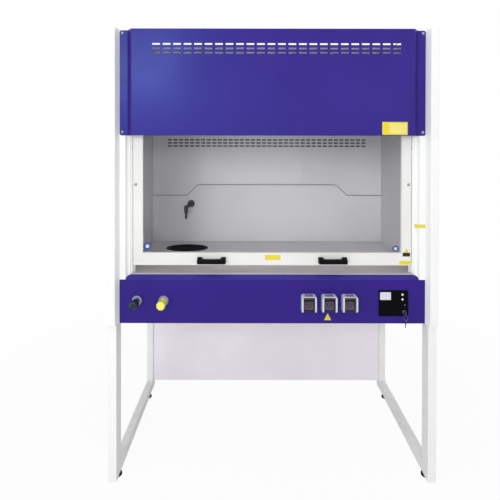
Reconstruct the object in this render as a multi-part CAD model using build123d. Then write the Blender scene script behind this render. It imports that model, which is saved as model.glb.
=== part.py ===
from build123d import *
import os
from math import pi

# A free-standing chemical fume hood. Sizes are in millimetres, X runs to the right, Z runs up
# and Y runs to the back. Inside the functions Y is the depth behind the front face of the front
# legs; at the end every piece is moved so that the hood's box is centred on the origin.

# Overall sizes
hood_width = 1600.0
hood_height = 2215.0
stand_depth = 880.0
sheet = 1.5                    # painted steel sheet of skins, posts, fascia and apron
running_gap = 0.3              # between pieces that slide past each other
shaft_gap = 0.08               # radial running clearance of a shaft in its bore
cut = 1.0                      # how far a cutting shape reaches past the face it cuts

# Stand
leg_width = 40.0
front_leg_depth = 80.0
rear_leg_depth = 60.0
tube_wall = 2.0
tube_corner = 3.0
foot_rail_height = 50.0
cross_rail = 40.0              # square cross rails between the side frames
pad_radius = 25.0
pad_height = 7.5
pad_edge = 1.5
pad_setback = 25.0             # from the outer face of the leg to the pad's centre
front_pad_depth = 60.0
rear_pad_inset = 148.0         # from the back of the stand to the rear pad's centre

# Front: skin, post, apron and fascia
skin_proud = 15.0              # skin in front of the leg
skin_fold = 38.0               # width of the skin's front strip
skin_tip = 749.0               # half width where the slanted strip meets the post
skin_bottom = 775.0
front_setback = 21.0           # face of posts and apron behind the leg's front face
post_inner = 701.0             # half width between the rounded inner faces of the posts
post_nose = 19.0               # radius of the post's inner front corner
post_step = 26.5               # depth of the post's nose before its step
post_channel = 7.0             # how far the step stands back for the guide channel
post_depth = 57.0
post_wall = 2.0
post_top_rise = 2.0            # post's end above the fascia's upper edge
foot_cut_margin = 5.0
foot_cut_reach = 60.0
apron_face_top = 990.0
apron_bevel_depth = 24.0
apron_bevel_rise = 23.0
apron_return = 40.0
apron_lip = 16.0
apron_bend = 2.5
apron_end_drop = 4.0            # the end folds stop short of the bevel
bend = 3.0                     # outer radius of sheet folds
fascia_bottom = 1697.0
fascia_top = 2210.0
fascia_face_half = 682.0
fascia_step_half = 708.0
fascia_half = 747.5
fascia_proud = 19.0            # main face in front of the legs' front face
fascia_corner = 10.0
fascia_screw_shift = 7.0       # from the flange's middle towards its edge
fascia_screw_low = 16.0
fascia_screw_high = 14.0

# Air slots in the fascia
slot_length = 37.0
slot_height = 8.6
slot_pitch = 50.3
slot_count = 24
slot_first = -580.0
slot_top_row = 2136.0
slot_row_pitch = 21.2
slot_rows = 3

# Chamber
worktop_height = 1012.0
worktop_thickness = 20.0
chamber_half = 746.0
liner = 3.0
rear_wall_depth = 779.0
lower_baffle_depth = 735.0
upper_baffle_depth = 743.0
baffle_side_gap = 2.0
upper_baffle_bottom = 1290.0
upper_baffle_bend = 1950.0
upper_baffle_lean = 100.0
upper_baffle_rise = 110.0
baffle_air_gap = 2.0
step_side_height = 1312.0
step_middle_height = 1381.0
step_outer_half = 520.0
step_inner_half = 446.0
roof_height = 2113.0           # upper face of the chamber's ceiling
vent_length = 26.7
vent_height = 9.4
vent_pitch = 36.0
vent_count = 36
vent_first = -645.0
vent_top_row = 1674.0
vent_row_pitch = 20.0
vent_rows = 3
spacer_radius = 9.0
spacer_side_inset = 60.0
spacer_row_inset = 80.0

# Back
rear_cover_inset = 2.0
rear_cover_return = 18.0
rear_panel_inset = 10.0
rear_panel_return = 20.0
rear_panel_gap = 1.0

# Exhaust collar and lamp
collar_radius = 125.0
collar_height = 92.0
collar_flange = 30.0
collar_depth = 455.0
lamp_length = 1200.0
lamp_width = 120.0
lamp_height = 38.0
lamp_depth = 240.0
diffuser_drop = 6.0
diffuser_rim = 3.0
diffuser_rim_inset = 5.0
lamp_end_margin = 20.0
lamp_side_margin = 12.0

# Drip cup
cup_x = -494.0
cup_depth_at = 568.0
cup_rim_x = 127.0
cup_rim_y = 87.0
cup_rim_width = 11.0
cup_rim_height = 3.0
cup_rim_round = 1.8
cup_drop = 95.0
cup_floor_x = 52.0
cup_floor_y = 38.0
cup_wall = 4.0
tail_radius = 19.0
tail_wall = 3.0
tail_length = 60.0

# Sash
sash_half = 690.0
sash_depth = 20.0
sash_front = 48.0
sash_bottom = 1054.0
sash_top = 1745.0
stile_width = 48.0
bottom_rail_height = 61.0
top_rail_height = 45.0
glass_thickness = 6.0
glass_hold = 8.0
sash_corner = 2.0
handle_length = 141.0
handle_x = 299.5
handle_bottom = 1066.5
handle_height = 23.0
handle_foot_rise = 5.0         # how far the feet stand above the bar
handle_foot_depth = 12.0
handle_reach = 35.0
handle_bar = 15.0
handle_foot = 23.0
handle_flare = 7.0
handle_round = 4.0
guide_lip = 15.5               # width of the guide's front lip
guide_rear_lip = 24.0
guide_bend = 2.0
guide_end_gap = 1.6
runner_height = 60.0
runner_end = 2.5
upper_runner_bottom = 1625.0
lower_runner_bottom = 1070.0
sash_screw_z = 1455.0
sash_screw_inset = 14.0
screw_head_radius = 7.5
screw_head_height = 4.0
screw_shank_radius = 2.5
screw_length = 9.0
screw_clearance = 0.2          # radial, between a shank and its hole

# Counterbalance
cable_radius = 2.0
cable_offset = 2.0             # pulley's side beyond the sash's edge
post_rail_gap = 2.0
pulley_pitch = 24.0            # radius of the cable's middle round the pulley
pulley_rim = 28.0
pulley_width = 11.0
groove_gap = 0.3
seat_gap = 0.1
groove_flare = 1.0
pulley_height = 2181.0
rear_cable_depth = 845.0
axle_radius = 4.0
bracket_plate = 2.5
bracket_foot = 24.0
bracket_half = 15.0
bracket_taper = 3.0
cheek_gap = 1.0                # between a pulley and its bracket's cheeks
axle_end = 2.0
counterweight_half = 720.0
counterweight_depth = 40.0
counterweight_height = 50.0
counterweight_top = 2030.0
counterweight_corner = 3.0
eye_height = 12.0
eye_radius = 6.0

# Services
valve_x = (-664.0, -533.0)
valve_z = 887.0
flange_radius = 24.0
flange_thickness = 2.5
flange_edge = 1.0
knob_gap = 1.0                 # between a knob's neck and its flange
stem_radius = 5.0
valve_radius = 17.0
valve_length = 52.0
valve_tail = 17.0
valve_tail_radius = 9.0
stem_depth = 38.0
stem_hole_gap = 2.0            # radial, round the stem in the apron
valve_nut_radius = 21.0
valve_nut_length = 8.0
knob_reach = 59.0              # knob's end in front of the legs' front face
water_knob_radii = (13.0, 19.0, 15.0)    # neck, grip and end
water_grip_length = 44.0
water_knob_flutes = 6
gas_knob_radii = (15.0, 21.0, 15.0)
gas_grip_length = 38.0
gas_knob_flutes = 8
knob_end_bevel = 6.0
flute_radius = 6.0
flute_depth = 1.8
outlet_x = -492.0
outlet_z = 1260.0
outlet_flange = 23.5
outlet_flange_thickness = 4.0
outlet_pipe = 9.0
outlet_bend = 18.0
outlet_straight = 20.0         # pipe in front of the baffle before it turns to the nozzle
nozzle_x = -511.0
nozzle_depth = 640.0
nozzle_bottom = 1216.0
nozzle_height = 45.0
nozzle_radius = 12.5
nozzle_edge = 2.0
nozzle_arm_drop = 13.0         # from the barrel's top to the middle of the pipe
tip_radius = 7.5
tip_length = 38.0
tip_taper = 1.5
outlet_elbow_corner = 5.0
outlet_elbow = 15.0
pipe_radius = 6.0
pipe_bend = 28.0
pipe_depth = 757.0
pipe_hole_gap = 1.5

# Sockets
socket_x = (176.4, 275.6, 374.8)
socket_width = 72.0
socket_bottom = 845.0
socket_top = 921.0
socket_depth = 46.0
socket_cheek = 8.0
socket_chin = 6.0
socket_shoulder = 7.0          # chamfer along the housing's upper side edges
socket_plate_z = 872.0         # middle of the socket's face plate
socket_brow_height = 1.5
socket_brow_depth = 4.0
socket_lip = 3.0               # thickness of the housing's roof over the recess
socket_back = 12.0
socket_recess_gap = 0.4
insert_plate = 46.0
insert_depth = 13.0
insert_plate_proud = 3.0
lid_thickness = 2.5
lid_setback = 3.0
lid_bottom_gap = 4.0
lid_hinge_drop = 5.0
lid_pin_radius = 2.0
plug_hole = 2.6
plug_hole_x = 9.5
plug_hole_z = 8.0
insert_margin = 4.0
insert_tail = 6.0
lid_gap = 1.0
lid_side_gap = 0.5
lid_eye = 0.5                  # wall of the lid's eye round its pin
lid_pin_reach = 4.0
lid_pin_cover = 3.0

# Control panel
panel_x = 593.8
panel_z = 876.0
panel_width = 144.0
panel_height = 126.0
panel_thickness = 4.0
panel_corner = 3.0
box_margin = 7.0
box_depth = 52.0
box_wall = 2.5
cutout_gap = 1.0
button_x = 637.0
button_z = (919.7, 896.6)
button_radius = 5.0
button_proud = 4.5
button_length = 15.0
button_flange = 1.5
lamp_lens_x = 649.0
lamp_lens_z = 868.0
lamp_lens_radius = 3.5
lock_x = 645.6
lock_z = 833.0
lock_radius = 9.5
lock_proud = 4.0
barrel_radius = 7.0
barrel_length = 26.0
sleeve_wall = 0.95
lamp_hole_gap = 0.05
barrel_recess = 0.5
lens_dome = 1.5
lens_tail = 6.0
button_edge = 1.2
key_thickness = 2.2
key_blade_height = 7.0
key_bow_radius = 11.0
key_bow_gap = 10.0
key_hole_radius = 4.0
key_hole_shift = 3.0
key_hole_drop = 5.0
key_bow_shift = 5.0
key_rim = 2.5
key_blade_length = 17.0
ring_radius = 12.0
ring_wire = 0.9
ring_rest = 0.15               # between the ring's wire and the rim of a key's hole

leg_outer = hood_width / 2 - sheet
leg_inner = leg_outer - leg_width
leg_middle = leg_outer - leg_width / 2
frame_top = hood_height - sheet
rear_leg_front = stand_depth - rear_leg_depth
bench_rail_top = worktop_height - worktop_thickness
bench_rail_middle = bench_rail_top - cross_rail / 2
roof_rail_middle = roof_height - liner + cross_rail / 2
apron_top = apron_face_top + apron_bevel_rise
apron_back = front_setback + apron_bevel_depth
front_bench_rail = front_setback + post_depth - cross_rail
post_bottom_gap = 0.4
guide_outer = post_inner + post_channel
guide_front = front_setback + post_step
guide_room = sash_depth
guide_inner_front = guide_front + sheet
guide_inner_rear = guide_inner_front + guide_room
cable_depth = guide_inner_front + guide_room / 2
cable_x = sash_half + pulley_width / 2 + cable_offset
front_pulley_depth = cable_depth + pulley_pitch
rear_pulley_depth = rear_cable_depth - pulley_pitch
front_roof_rail = front_setback + post_depth + post_rail_gap
rear_roof_rail = rear_wall_depth + liner
cable_split = pulley_height - cable_radius / 2
centre_shift = -(stand_depth - knob_reach) / 2


def side_plane(x):
    """A plane across the hood: its own x is depth, its own y is height, it faces +X."""
    return Plane(origin=(x, 0, 0), x_dir=(0, 1, 0), z_dir=(1, 0, 0))


def front_plane(depth):
    """A plane along the hood's front: x to the right, y up, facing the user."""
    return Plane(origin=(0, depth, 0), x_dir=(1, 0, 0), z_dir=(0, -1, 0))


def level_plane(height):
    """A level plane: x to the right, y to the back, facing up."""
    return Plane(origin=(0, 0, height), x_dir=(1, 0, 0), z_dir=(0, 0, 1))


def mirrored(piece):
    """The same piece for the other side of the hood."""
    return mirror(piece, about=Plane.YZ)


def group(pieces):
    """Separate solids kept together as one named node."""
    return Compound(children=[solid for piece in pieces for solid in piece.solids()])


def centred(piece):
    """A finished piece moved so that the hood's box is centred on the origin."""
    solids = [Pos(0, centre_shift, 0) * solid for solid in piece.solids()]
    return solids[0] if len(solids) == 1 else Compound(children=solids)


def folded_sheet(points, side, plane, length, thickness=sheet, radius=bend):
    """A sheet folded along a path of its outer face and extruded along the plane's normal."""
    with BuildPart() as result:
        with BuildSketch(plane):
            with BuildLine():
                FilletPolyline(*points, radius=radius)
                offset(amount=thickness, side=side)
            make_face()
        extrude(amount=length)
    return result.part


def block(x_range, depth_range, z_range):
    """A plain rectangular stretch between the given limits."""
    size = [high - low for low, high in (x_range, depth_range, z_range)]
    middle = [(high + low) / 2 for low, high in (x_range, depth_range, z_range)]
    return Pos(*middle) * Box(*size)


def rod(centre, radius, plane, length):
    """A round bar from a plane, centred on a point of that plane."""
    with BuildPart() as result:
        with BuildSketch(plane):
            with Locations(centre):
                Circle(radius)
        extrude(amount=length)
    return result.part


# Stand

def upright_tube(middle, size):
    """A leg: rectangular tube, open at the foot and closed at the top."""
    with BuildPart() as tube:
        with BuildSketch(level_plane(pad_height)):
            with Locations((leg_middle, middle)):
                RectangleRounded(leg_width, size, tube_corner)
                Rectangle(leg_width - 2 * tube_wall, size - 2 * tube_wall, mode=Mode.SUBTRACT)
        extrude(amount=frame_top - tube_wall - pad_height)
        with BuildSketch(level_plane(frame_top - tube_wall)):
            with Locations((leg_middle, middle)):
                RectangleRounded(leg_width, size, tube_corner)
        extrude(amount=tube_wall)
    return tube.part


def side_rail(middle, size):
    """A rectangular tube between the front and rear legs."""
    with BuildPart() as tube:
        with BuildSketch(front_plane(rear_leg_front)):
            with Locations((leg_middle, middle)):
                RectangleRounded(leg_width, size, tube_corner)
                Rectangle(leg_width - 2 * tube_wall, size - 2 * tube_wall, mode=Mode.SUBTRACT)
        extrude(amount=rear_leg_front - front_leg_depth)
    return tube.part


def right_side_frame():
    """Two legs and three rails, butted and welded into one frame."""
    return group([
        upright_tube(front_leg_depth / 2, front_leg_depth),
        upright_tube(rear_leg_front + rear_leg_depth / 2, rear_leg_depth),
        side_rail(pad_height + foot_rail_height / 2, foot_rail_height),
        side_rail(bench_rail_middle, cross_rail),
        side_rail(roof_rail_middle, cross_rail),
    ])


def cross_tube(depth, height):
    """A square tube between the side frames; depth is its front face, height its middle."""
    with BuildPart() as tube:
        with BuildSketch(side_plane(-leg_inner)):
            with Locations((depth + cross_rail / 2, height)):
                RectangleRounded(cross_rail, cross_rail, tube_corner)
                inside = cross_rail - 2 * tube_wall
                Rectangle(inside, inside, mode=Mode.SUBTRACT)
        extrude(amount=2 * leg_inner)
    return tube.part


def cross_rails():
    """Front and rear rails under the worktop and beside the roof."""
    return group([
        cross_tube(front_bench_rail, bench_rail_middle),
        cross_tube(rear_roof_rail, bench_rail_middle),
        cross_tube(front_roof_rail, roof_rail_middle),
        cross_tube(rear_roof_rail, roof_rail_middle),
    ])


def floor_pads():
    """Round pads under the four legs."""
    pads = []
    for x in (-(leg_outer - pad_setback), leg_outer - pad_setback):
        for depth in (front_pad_depth, stand_depth - rear_pad_inset):
            pad = rod((x, depth), pad_radius, level_plane(0), pad_height)
            rim = pad.edges().filter_by(GeomType.CIRCLE).group_by(Axis.Z)[0]
            pads.append(chamfer(rim, pad_edge))
    return group(pads)


def right_outer_panel():
    """Side skin folded round the front leg, with a top return over the frame."""
    tip_depth = front_setback - sheet / 2
    fold_x = hood_width / 2 - skin_fold
    path = [
        (skin_tip, tip_depth),
        (fold_x, -skin_proud),
        (hood_width / 2, -skin_proud),
        (hood_width / 2, stand_depth),
    ]
    height = hood_height - skin_bottom
    skin = folded_sheet(path, Side.LEFT, level_plane(skin_bottom), height)
    cap = block(
        (leg_inner, hood_width / 2 - sheet),
        (sheet - skin_proud, stand_depth),
        (hood_height - sheet, hood_height),
    )
    return skin + cap


# Front

def foot_cutter():
    """The space under the posts: the apron's bevel and top, seen from the side."""
    below = apron_face_top - foot_cut_reach
    low = apron_face_top + post_bottom_gap
    high = apron_top + post_bottom_gap
    front = front_setback - foot_cut_margin
    rear = front_setback + post_depth + foot_cut_margin
    slope = apron_bevel_rise / apron_bevel_depth
    with BuildPart() as cutter:
        with BuildSketch(side_plane(0)):
            with BuildLine():
                Polyline(
                    (front, below),
                    (front, low - foot_cut_margin * slope),
                    (apron_back, high),
                    (rear, high),
                    (rear, below),
                    close=True,
                )
            make_face()
        extrude(amount=hood_width / 2)
    return cutter.part


def right_front_post():
    """Hollow front post with a rounded inner nose and a step for the sash guide."""
    flat_edge = post_inner + post_nose
    nose_back = front_setback + post_nose
    rear = front_setback + post_depth
    with BuildPart() as post:
        with BuildSketch(level_plane(apron_face_top)):
            with BuildLine():
                Line((leg_inner, front_setback), (flat_edge, front_setback))
                RadiusArc((flat_edge, front_setback), (post_inner, nose_back), -post_nose)
                Polyline(
                    (post_inner, nose_back),
                    (post_inner, guide_front),
                    (guide_outer, guide_front),
                    (guide_outer, rear),
                    (leg_inner, rear),
                    (leg_inner, front_setback),
                )
            make_face()
            offset(amount=-post_wall, mode=Mode.SUBTRACT)
        extrude(amount=fascia_top + post_top_rise - apron_face_top)
        for z in fascia_screw_heights():
            with BuildSketch(front_plane(front_setback + 2 * post_wall)):
                with Locations((fascia_screw_x(), z)):
                    Circle(screw_shank_radius + screw_clearance)
            extrude(amount=3 * post_wall, mode=Mode.SUBTRACT)
    return post.part - foot_cutter()


def right_sash_guide():
    """Channel on the post's step; the sash runners slide between its lips."""
    bottom = apron_top + guide_end_gap
    top = pulley_height - pulley_rim - 3 * guide_end_gap
    path = [
        (guide_outer - guide_lip, guide_front),
        (guide_outer, guide_front),
        (guide_outer, guide_inner_rear + sheet),
        (guide_outer - guide_rear_lip, guide_inner_rear + sheet),
    ]
    return folded_sheet(path, Side.LEFT, level_plane(bottom), top - bottom, radius=guide_bend)


def fascia_screw_x():
    return (fascia_half + fascia_step_half) / 2 + fascia_screw_shift


def fascia_screw_heights():
    return (fascia_bottom + fascia_screw_low, fascia_top - fascia_screw_high)


def fascia():
    """Folded head panel: a tray with side flanges, returns and three rows of air slots."""
    flange_depth = front_setback - sheet
    path = [
        (-fascia_half, flange_depth),
        (-fascia_step_half, flange_depth),
        (-fascia_face_half, -fascia_proud),
        (fascia_face_half, -fascia_proud),
        (fascia_step_half, flange_depth),
        (fascia_half, flange_depth),
    ]
    height = fascia_top - fascia_bottom
    body = folded_sheet(path, Side.LEFT, level_plane(fascia_bottom), height)
    inner_face = sheet - fascia_proud
    slant = (fascia_step_half - fascia_face_half) / (flange_depth + fascia_proud)
    with BuildPart() as returns:
        for z in (fascia_bottom, fascia_top - sheet):
            with BuildSketch(level_plane(z)):
                with BuildLine():
                    Polyline(
                        (-fascia_face_half, inner_face - sheet / 3),
                        (fascia_face_half, inner_face - sheet / 3),
                        (fascia_step_half - slant, flange_depth),
                        (slant - fascia_step_half, flange_depth),
                        close=True,
                    )
                make_face()
            extrude(amount=sheet)
    with BuildPart() as tray:
        add(body)
        add(returns.part)
        corners = tray.edges().filter_by(Axis.Y).filter_by_position(
            Axis.X, fascia_half - cut, fascia_half + cut
        ) + tray.edges().filter_by(Axis.Y).filter_by_position(
            Axis.X, -fascia_half - cut, cut - fascia_half
        )
        fillet(corners, fascia_corner)
        with BuildSketch(front_plane(inner_face + cut)):
            for row in range(slot_rows):
                for column in range(slot_count):
                    x = slot_first + slot_length / 2 + column * slot_pitch
                    with Locations((x, slot_top_row - row * slot_row_pitch)):
                        Rectangle(slot_length, slot_height)
        extrude(amount=sheet + 2 * cut, mode=Mode.SUBTRACT)
        with BuildSketch(front_plane(front_setback + cut)):
            for side in (-1, 1):
                for z in fascia_screw_heights():
                    with Locations((side * fascia_screw_x(), z)):
                        Circle(screw_shank_radius + screw_clearance)
        extrude(amount=sheet + 2 * cut, mode=Mode.SUBTRACT)
    return tray.part


def dome_screw(x, face, z):
    """Dome-headed screw whose head sits on a face at the given depth."""
    dome_radius = (screw_head_radius ** 2 + screw_head_height ** 2) / (2 * screw_head_height)
    with BuildPart() as screw:
        with BuildSketch(Plane.XZ):
            with BuildLine():
                Line((0, 0), (0, screw_head_height))
                RadiusArc((0, screw_head_height), (screw_head_radius, 0), dome_radius)
                Polyline(
                    (screw_head_radius, 0),
                    (screw_shank_radius, 0),
                    (screw_shank_radius, -screw_length),
                    (0, -screw_length),
                    (0, 0),
                )
            make_face()
        revolve(axis=Axis.Z)
    return Pos(x, face, z) * Rot(90, 0, 0) * screw.part


def fascia_screws():
    face = front_setback - sheet
    return group([
        dome_screw(side * fascia_screw_x(), face, z)
        for side in (-1, 1)
        for z in fascia_screw_heights()
    ])


def apron():
    """Service panel folded from one sheet, with a bevelled top and a short lip."""
    path = [
        (front_setback + apron_return, skin_bottom),
        (front_setback, skin_bottom),
        (front_setback, apron_face_top),
        (apron_back, apron_top),
        (apron_back, apron_top - apron_lip),
    ]
    length = 2 * leg_inner
    body = folded_sheet(path, Side.RIGHT, side_plane(-leg_inner), length, radius=apron_bend)
    ends = [
        block(
            (x, x + sheet),
            (front_setback + sheet / 2, front_bench_rail - running_gap),
            (skin_bottom + sheet / 2, apron_face_top - apron_end_drop),
        )
        for x in (-leg_inner, leg_inner - sheet)
    ]
    with BuildPart() as panel:
        add(body)
        add(ends)
        with BuildSketch(front_plane(front_setback + sheet + cut)):
            with Locations(*[(x, valve_z) for x in valve_x]):
                Circle(stem_radius + stem_hole_gap)
            with Locations(*[(x, socket_plate_z) for x in socket_x]):
                Rectangle(insert_plate, insert_plate)
            with Locations((panel_x, panel_z)):
                Rectangle(
                    panel_width - 2 * box_margin + cutout_gap,
                    panel_height - 2 * box_margin + cutout_gap,
                )
        extrude(amount=sheet + 2 * cut, mode=Mode.SUBTRACT)
    return panel.part


# Chamber

def worktop():
    """Solid worktop with the cut-out for the drip cup."""
    front = apron_back
    rear = rear_wall_depth + liner
    with BuildPart() as top:
        with BuildSketch(level_plane(worktop_height - worktop_thickness)):
            with Locations((0, (front + rear) / 2)):
                Rectangle(2 * leg_inner, rear - front)
            with Locations((cup_x, cup_depth_at)):
                Ellipse(
                    cup_rim_x - cup_rim_width + running_gap,
                    cup_rim_y - cup_rim_width + running_gap,
                    mode=Mode.SUBTRACT,
                )
            with Locations((outlet_x, pipe_depth)):
                Circle(pipe_radius + pipe_hole_gap, mode=Mode.SUBTRACT)
        extrude(amount=worktop_thickness)
    return top.part


def oval(height, half_x, half_y):
    """An oval outline at a height, centred on the drip cup."""
    with BuildSketch(level_plane(height)) as outline:
        with Locations((cup_x, cup_depth_at)):
            Ellipse(half_x, half_y)
    return outline.sketch


def drip_cup():
    """Oval cup let into the worktop, with a rim and a waste tail."""
    mouth_x = cup_rim_x - cup_rim_width
    mouth_y = cup_rim_y - cup_rim_width
    floor = worktop_height - cup_drop
    rim_top = worktop_height + cup_rim_height
    tail_end = floor - cup_wall - tail_length
    outside = loft([
        oval(worktop_height, mouth_x, mouth_y),
        oval(floor - cup_wall, cup_floor_x + cup_wall, cup_floor_y + cup_wall),
    ])
    inside = loft([
        oval(rim_top, mouth_x - cup_wall, mouth_y - cup_wall),
        oval(floor, cup_floor_x, cup_floor_y),
    ])
    rim = extrude(oval(worktop_height, cup_rim_x, cup_rim_y), cup_rim_height)
    rim = fillet(rim.edges().group_by(Axis.Z)[-1], cup_rim_round)
    middle = (cup_x, cup_depth_at)
    tail = rod(middle, tail_radius, level_plane(tail_end), tail_length + cup_wall / 2)
    bore = rod(middle, tail_radius - tail_wall, level_plane(tail_end - cut), tail_length + 3 * cup_wall)
    return outside + rim + tail - inside - bore


def side_liners():
    """Flat liners that stand on the worktop and close the chamber's sides."""
    front = front_setback + post_depth
    right = block(
        (chamber_half, chamber_half + liner),
        (front, rear_wall_depth),
        (worktop_height, roof_height - liner),
    )
    return group([mirrored(right), right])


def roof_panel():
    """Ceiling of the chamber, with the exhaust hole and the lamp's window."""
    front = front_roof_rail + cross_rail
    with BuildPart() as roof:
        with BuildSketch(level_plane(roof_height - liner)):
            with Locations((0, (front + rear_roof_rail) / 2)):
                Rectangle(2 * leg_inner, rear_roof_rail - front)
            with Locations((0, collar_depth)):
                Circle(collar_radius - sheet, mode=Mode.SUBTRACT)
            with Locations((0, lamp_depth)):
                Rectangle(
                    lamp_length - 2 * lamp_end_margin,
                    lamp_width - 2 * lamp_side_margin,
                    mode=Mode.SUBTRACT,
                )
        extrude(amount=liner)
    return roof.part


def exhaust_collar():
    """Flanged round collar on the roof for the exhaust duct."""
    with BuildPart() as collar:
        with BuildSketch(Plane.XZ):
            with BuildLine():
                Polyline(
                    (collar_radius - sheet, roof_height),
                    (collar_radius + collar_flange, roof_height),
                    (collar_radius + collar_flange, roof_height + sheet),
                    (collar_radius, roof_height + sheet),
                    (collar_radius, roof_height + collar_height),
                    (collar_radius - sheet, roof_height + collar_height),
                    close=True,
                )
            make_face()
        revolve(axis=Axis.Z)
    return Pos(0, collar_depth, 0) * collar.part


def lamp_housing():
    """Folded lamp tray that stands over the window in the roof."""
    x_half = lamp_length / 2
    y_half = lamp_width / 2
    outside = block(
        (-x_half, x_half),
        (lamp_depth - y_half, lamp_depth + y_half),
        (roof_height, roof_height + lamp_height),
    )
    inside = block(
        (sheet - x_half, x_half - sheet),
        (lamp_depth - y_half + sheet, lamp_depth + y_half - sheet),
        (roof_height - cut, roof_height + lamp_height - sheet),
    )
    return outside - inside


def lamp_diffuser():
    """Diffuser dropped into the window, resting on the roof by its rim."""
    rim_half = lamp_length / 2 - diffuser_rim_inset
    rim_depth = lamp_width / 2 - diffuser_rim_inset
    pane_half = lamp_length / 2 - lamp_end_margin - cut
    pane_depth = lamp_width / 2 - lamp_side_margin - cut
    rim = block(
        (-rim_half, rim_half),
        (lamp_depth - rim_depth, lamp_depth + rim_depth),
        (roof_height, roof_height + diffuser_rim),
    )
    pane = block(
        (-pane_half, pane_half),
        (lamp_depth - pane_depth, lamp_depth + pane_depth),
        (roof_height - diffuser_drop, roof_height),
    )
    return rim + pane


def upper_baffle():
    """Slotted rear baffle, bent forward under the roof."""
    half = chamber_half - baffle_side_gap
    path = [
        (upper_baffle_depth, upper_baffle_bottom),
        (upper_baffle_depth, upper_baffle_bend),
        (upper_baffle_depth - upper_baffle_lean, upper_baffle_bend + upper_baffle_rise),
    ]
    with BuildPart() as baffle:
        add(folded_sheet(path, Side.RIGHT, side_plane(-half), 2 * half, liner, 2 * liner))
        with BuildSketch(front_plane(upper_baffle_depth + liner + cut)):
            for row in range(vent_rows):
                for column in range(vent_count):
                    x = vent_first + vent_length / 2 + column * vent_pitch
                    with Locations((x, vent_top_row - row * vent_row_pitch)):
                        Rectangle(vent_length, vent_height)
        extrude(amount=liner + 2 * cut, mode=Mode.SUBTRACT)
    return baffle.part


def lower_baffle():
    """Lower rear baffle with its stepped top edge."""
    half = chamber_half - baffle_side_gap
    bottom = worktop_height + baffle_air_gap
    with BuildPart() as baffle:
        with BuildSketch(front_plane(lower_baffle_depth)):
            with BuildLine():
                Polyline(
                    (-half, bottom),
                    (half, bottom),
                    (half, step_side_height),
                    (step_outer_half, step_side_height),
                    (step_inner_half, step_middle_height),
                    (-step_inner_half, step_middle_height),
                    (-step_outer_half, step_side_height),
                    (-half, step_side_height),
                    close=True,
                )
            make_face()
            with Locations((outlet_x, outlet_z)):
                Circle(outlet_pipe + pipe_hole_gap, mode=Mode.SUBTRACT)
        extrude(amount=-liner)
    return baffle.part


def baffle_spacers():
    """Round spacers that hold both baffles off the rear wall."""
    wide = chamber_half - spacer_side_inset
    upper_rows = (upper_baffle_bottom + 2 * spacer_row_inset, upper_baffle_bend - spacer_row_inset)
    lower_row = worktop_height + spacer_row_inset
    places = [(x, z, upper_baffle_depth) for z in upper_rows for x in (-wide, 0, wide)]
    places += [(x, lower_row, lower_baffle_depth) for x in (-wide, 0, wide)]
    spacers = []
    for x, z, depth in places:
        length = rear_wall_depth - depth - liner
        spacers.append(rod((x, z), spacer_radius, front_plane(rear_wall_depth), length))
    return group(spacers)


def inner_rear_wall():
    """Back of the chamber, behind the baffles."""
    return block(
        (-leg_inner, leg_inner),
        (rear_wall_depth, rear_wall_depth + liner),
        (worktop_height, roof_height - liner),
    )


def rear_cover():
    """Tray that closes the back over the counterweight's shaft."""
    outer = stand_depth - rear_cover_inset
    side_return = rear_cover_return
    path = [
        (-leg_inner, outer - side_return),
        (-leg_inner, outer),
        (leg_inner, outer),
        (leg_inner, outer - side_return),
    ]
    bottom = bench_rail_top - cross_rail
    return folded_sheet(path, Side.RIGHT, level_plane(bottom), fascia_top - bottom)


def rear_lower_panel():
    """Tray between the rear legs, under the bench."""
    face = rear_leg_front + rear_panel_inset
    side_return = rear_panel_return
    path = [
        (-leg_inner, face + side_return),
        (-leg_inner, face),
        (leg_inner, face),
        (leg_inner, face + side_return),
    ]
    bottom = pad_height + foot_rail_height
    height = bench_rail_top - cross_rail - rear_panel_gap - bottom
    return folded_sheet(path, Side.LEFT, level_plane(bottom), height)


# Sash

def sash_frame():
    """White frame of the sash, grooved inside for the glass."""
    window_bottom = sash_bottom + bottom_rail_height
    window_top = sash_top - top_rail_height
    window_half = sash_half - stile_width
    with BuildPart() as frame:
        with BuildSketch(front_plane(sash_front)):
            with Locations((0, (sash_bottom + sash_top) / 2)):
                RectangleRounded(2 * sash_half, sash_top - sash_bottom, sash_corner)
            with Locations((0, (window_bottom + window_top) / 2)):
                Rectangle(2 * window_half, window_top - window_bottom, mode=Mode.SUBTRACT)
        extrude(amount=-sash_depth)
        groove = glass_thickness + 2 * running_gap
        with BuildSketch(front_plane(sash_front + sash_depth / 2 - groove / 2)):
            with Locations((0, (window_bottom + window_top) / 2)):
                Rectangle(
                    2 * (window_half + glass_hold + running_gap),
                    window_top - window_bottom + 2 * (glass_hold + running_gap),
                )
        extrude(amount=-groove, mode=Mode.SUBTRACT)
        with BuildSketch(front_plane(sash_front + screw_length + running_gap)):
            with Locations((sash_screw_x(), sash_screw_z), (-sash_screw_x(), sash_screw_z)):
                Circle(screw_shank_radius + screw_clearance)
        extrude(amount=screw_length + cut, mode=Mode.SUBTRACT)
    return frame.part


def sash_screw_x():
    return sash_half - sash_screw_inset


def sash_glass():
    """Clear pane held in the frame's groove."""
    half = sash_half - stile_width + glass_hold
    middle = sash_front + sash_depth / 2
    bottom = sash_bottom + bottom_rail_height - glass_hold
    top = sash_top - top_rail_height + glass_hold
    depth_range = (middle - glass_thickness / 2, middle + glass_thickness / 2)
    return block((-half, half), depth_range, (bottom, top))


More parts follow.
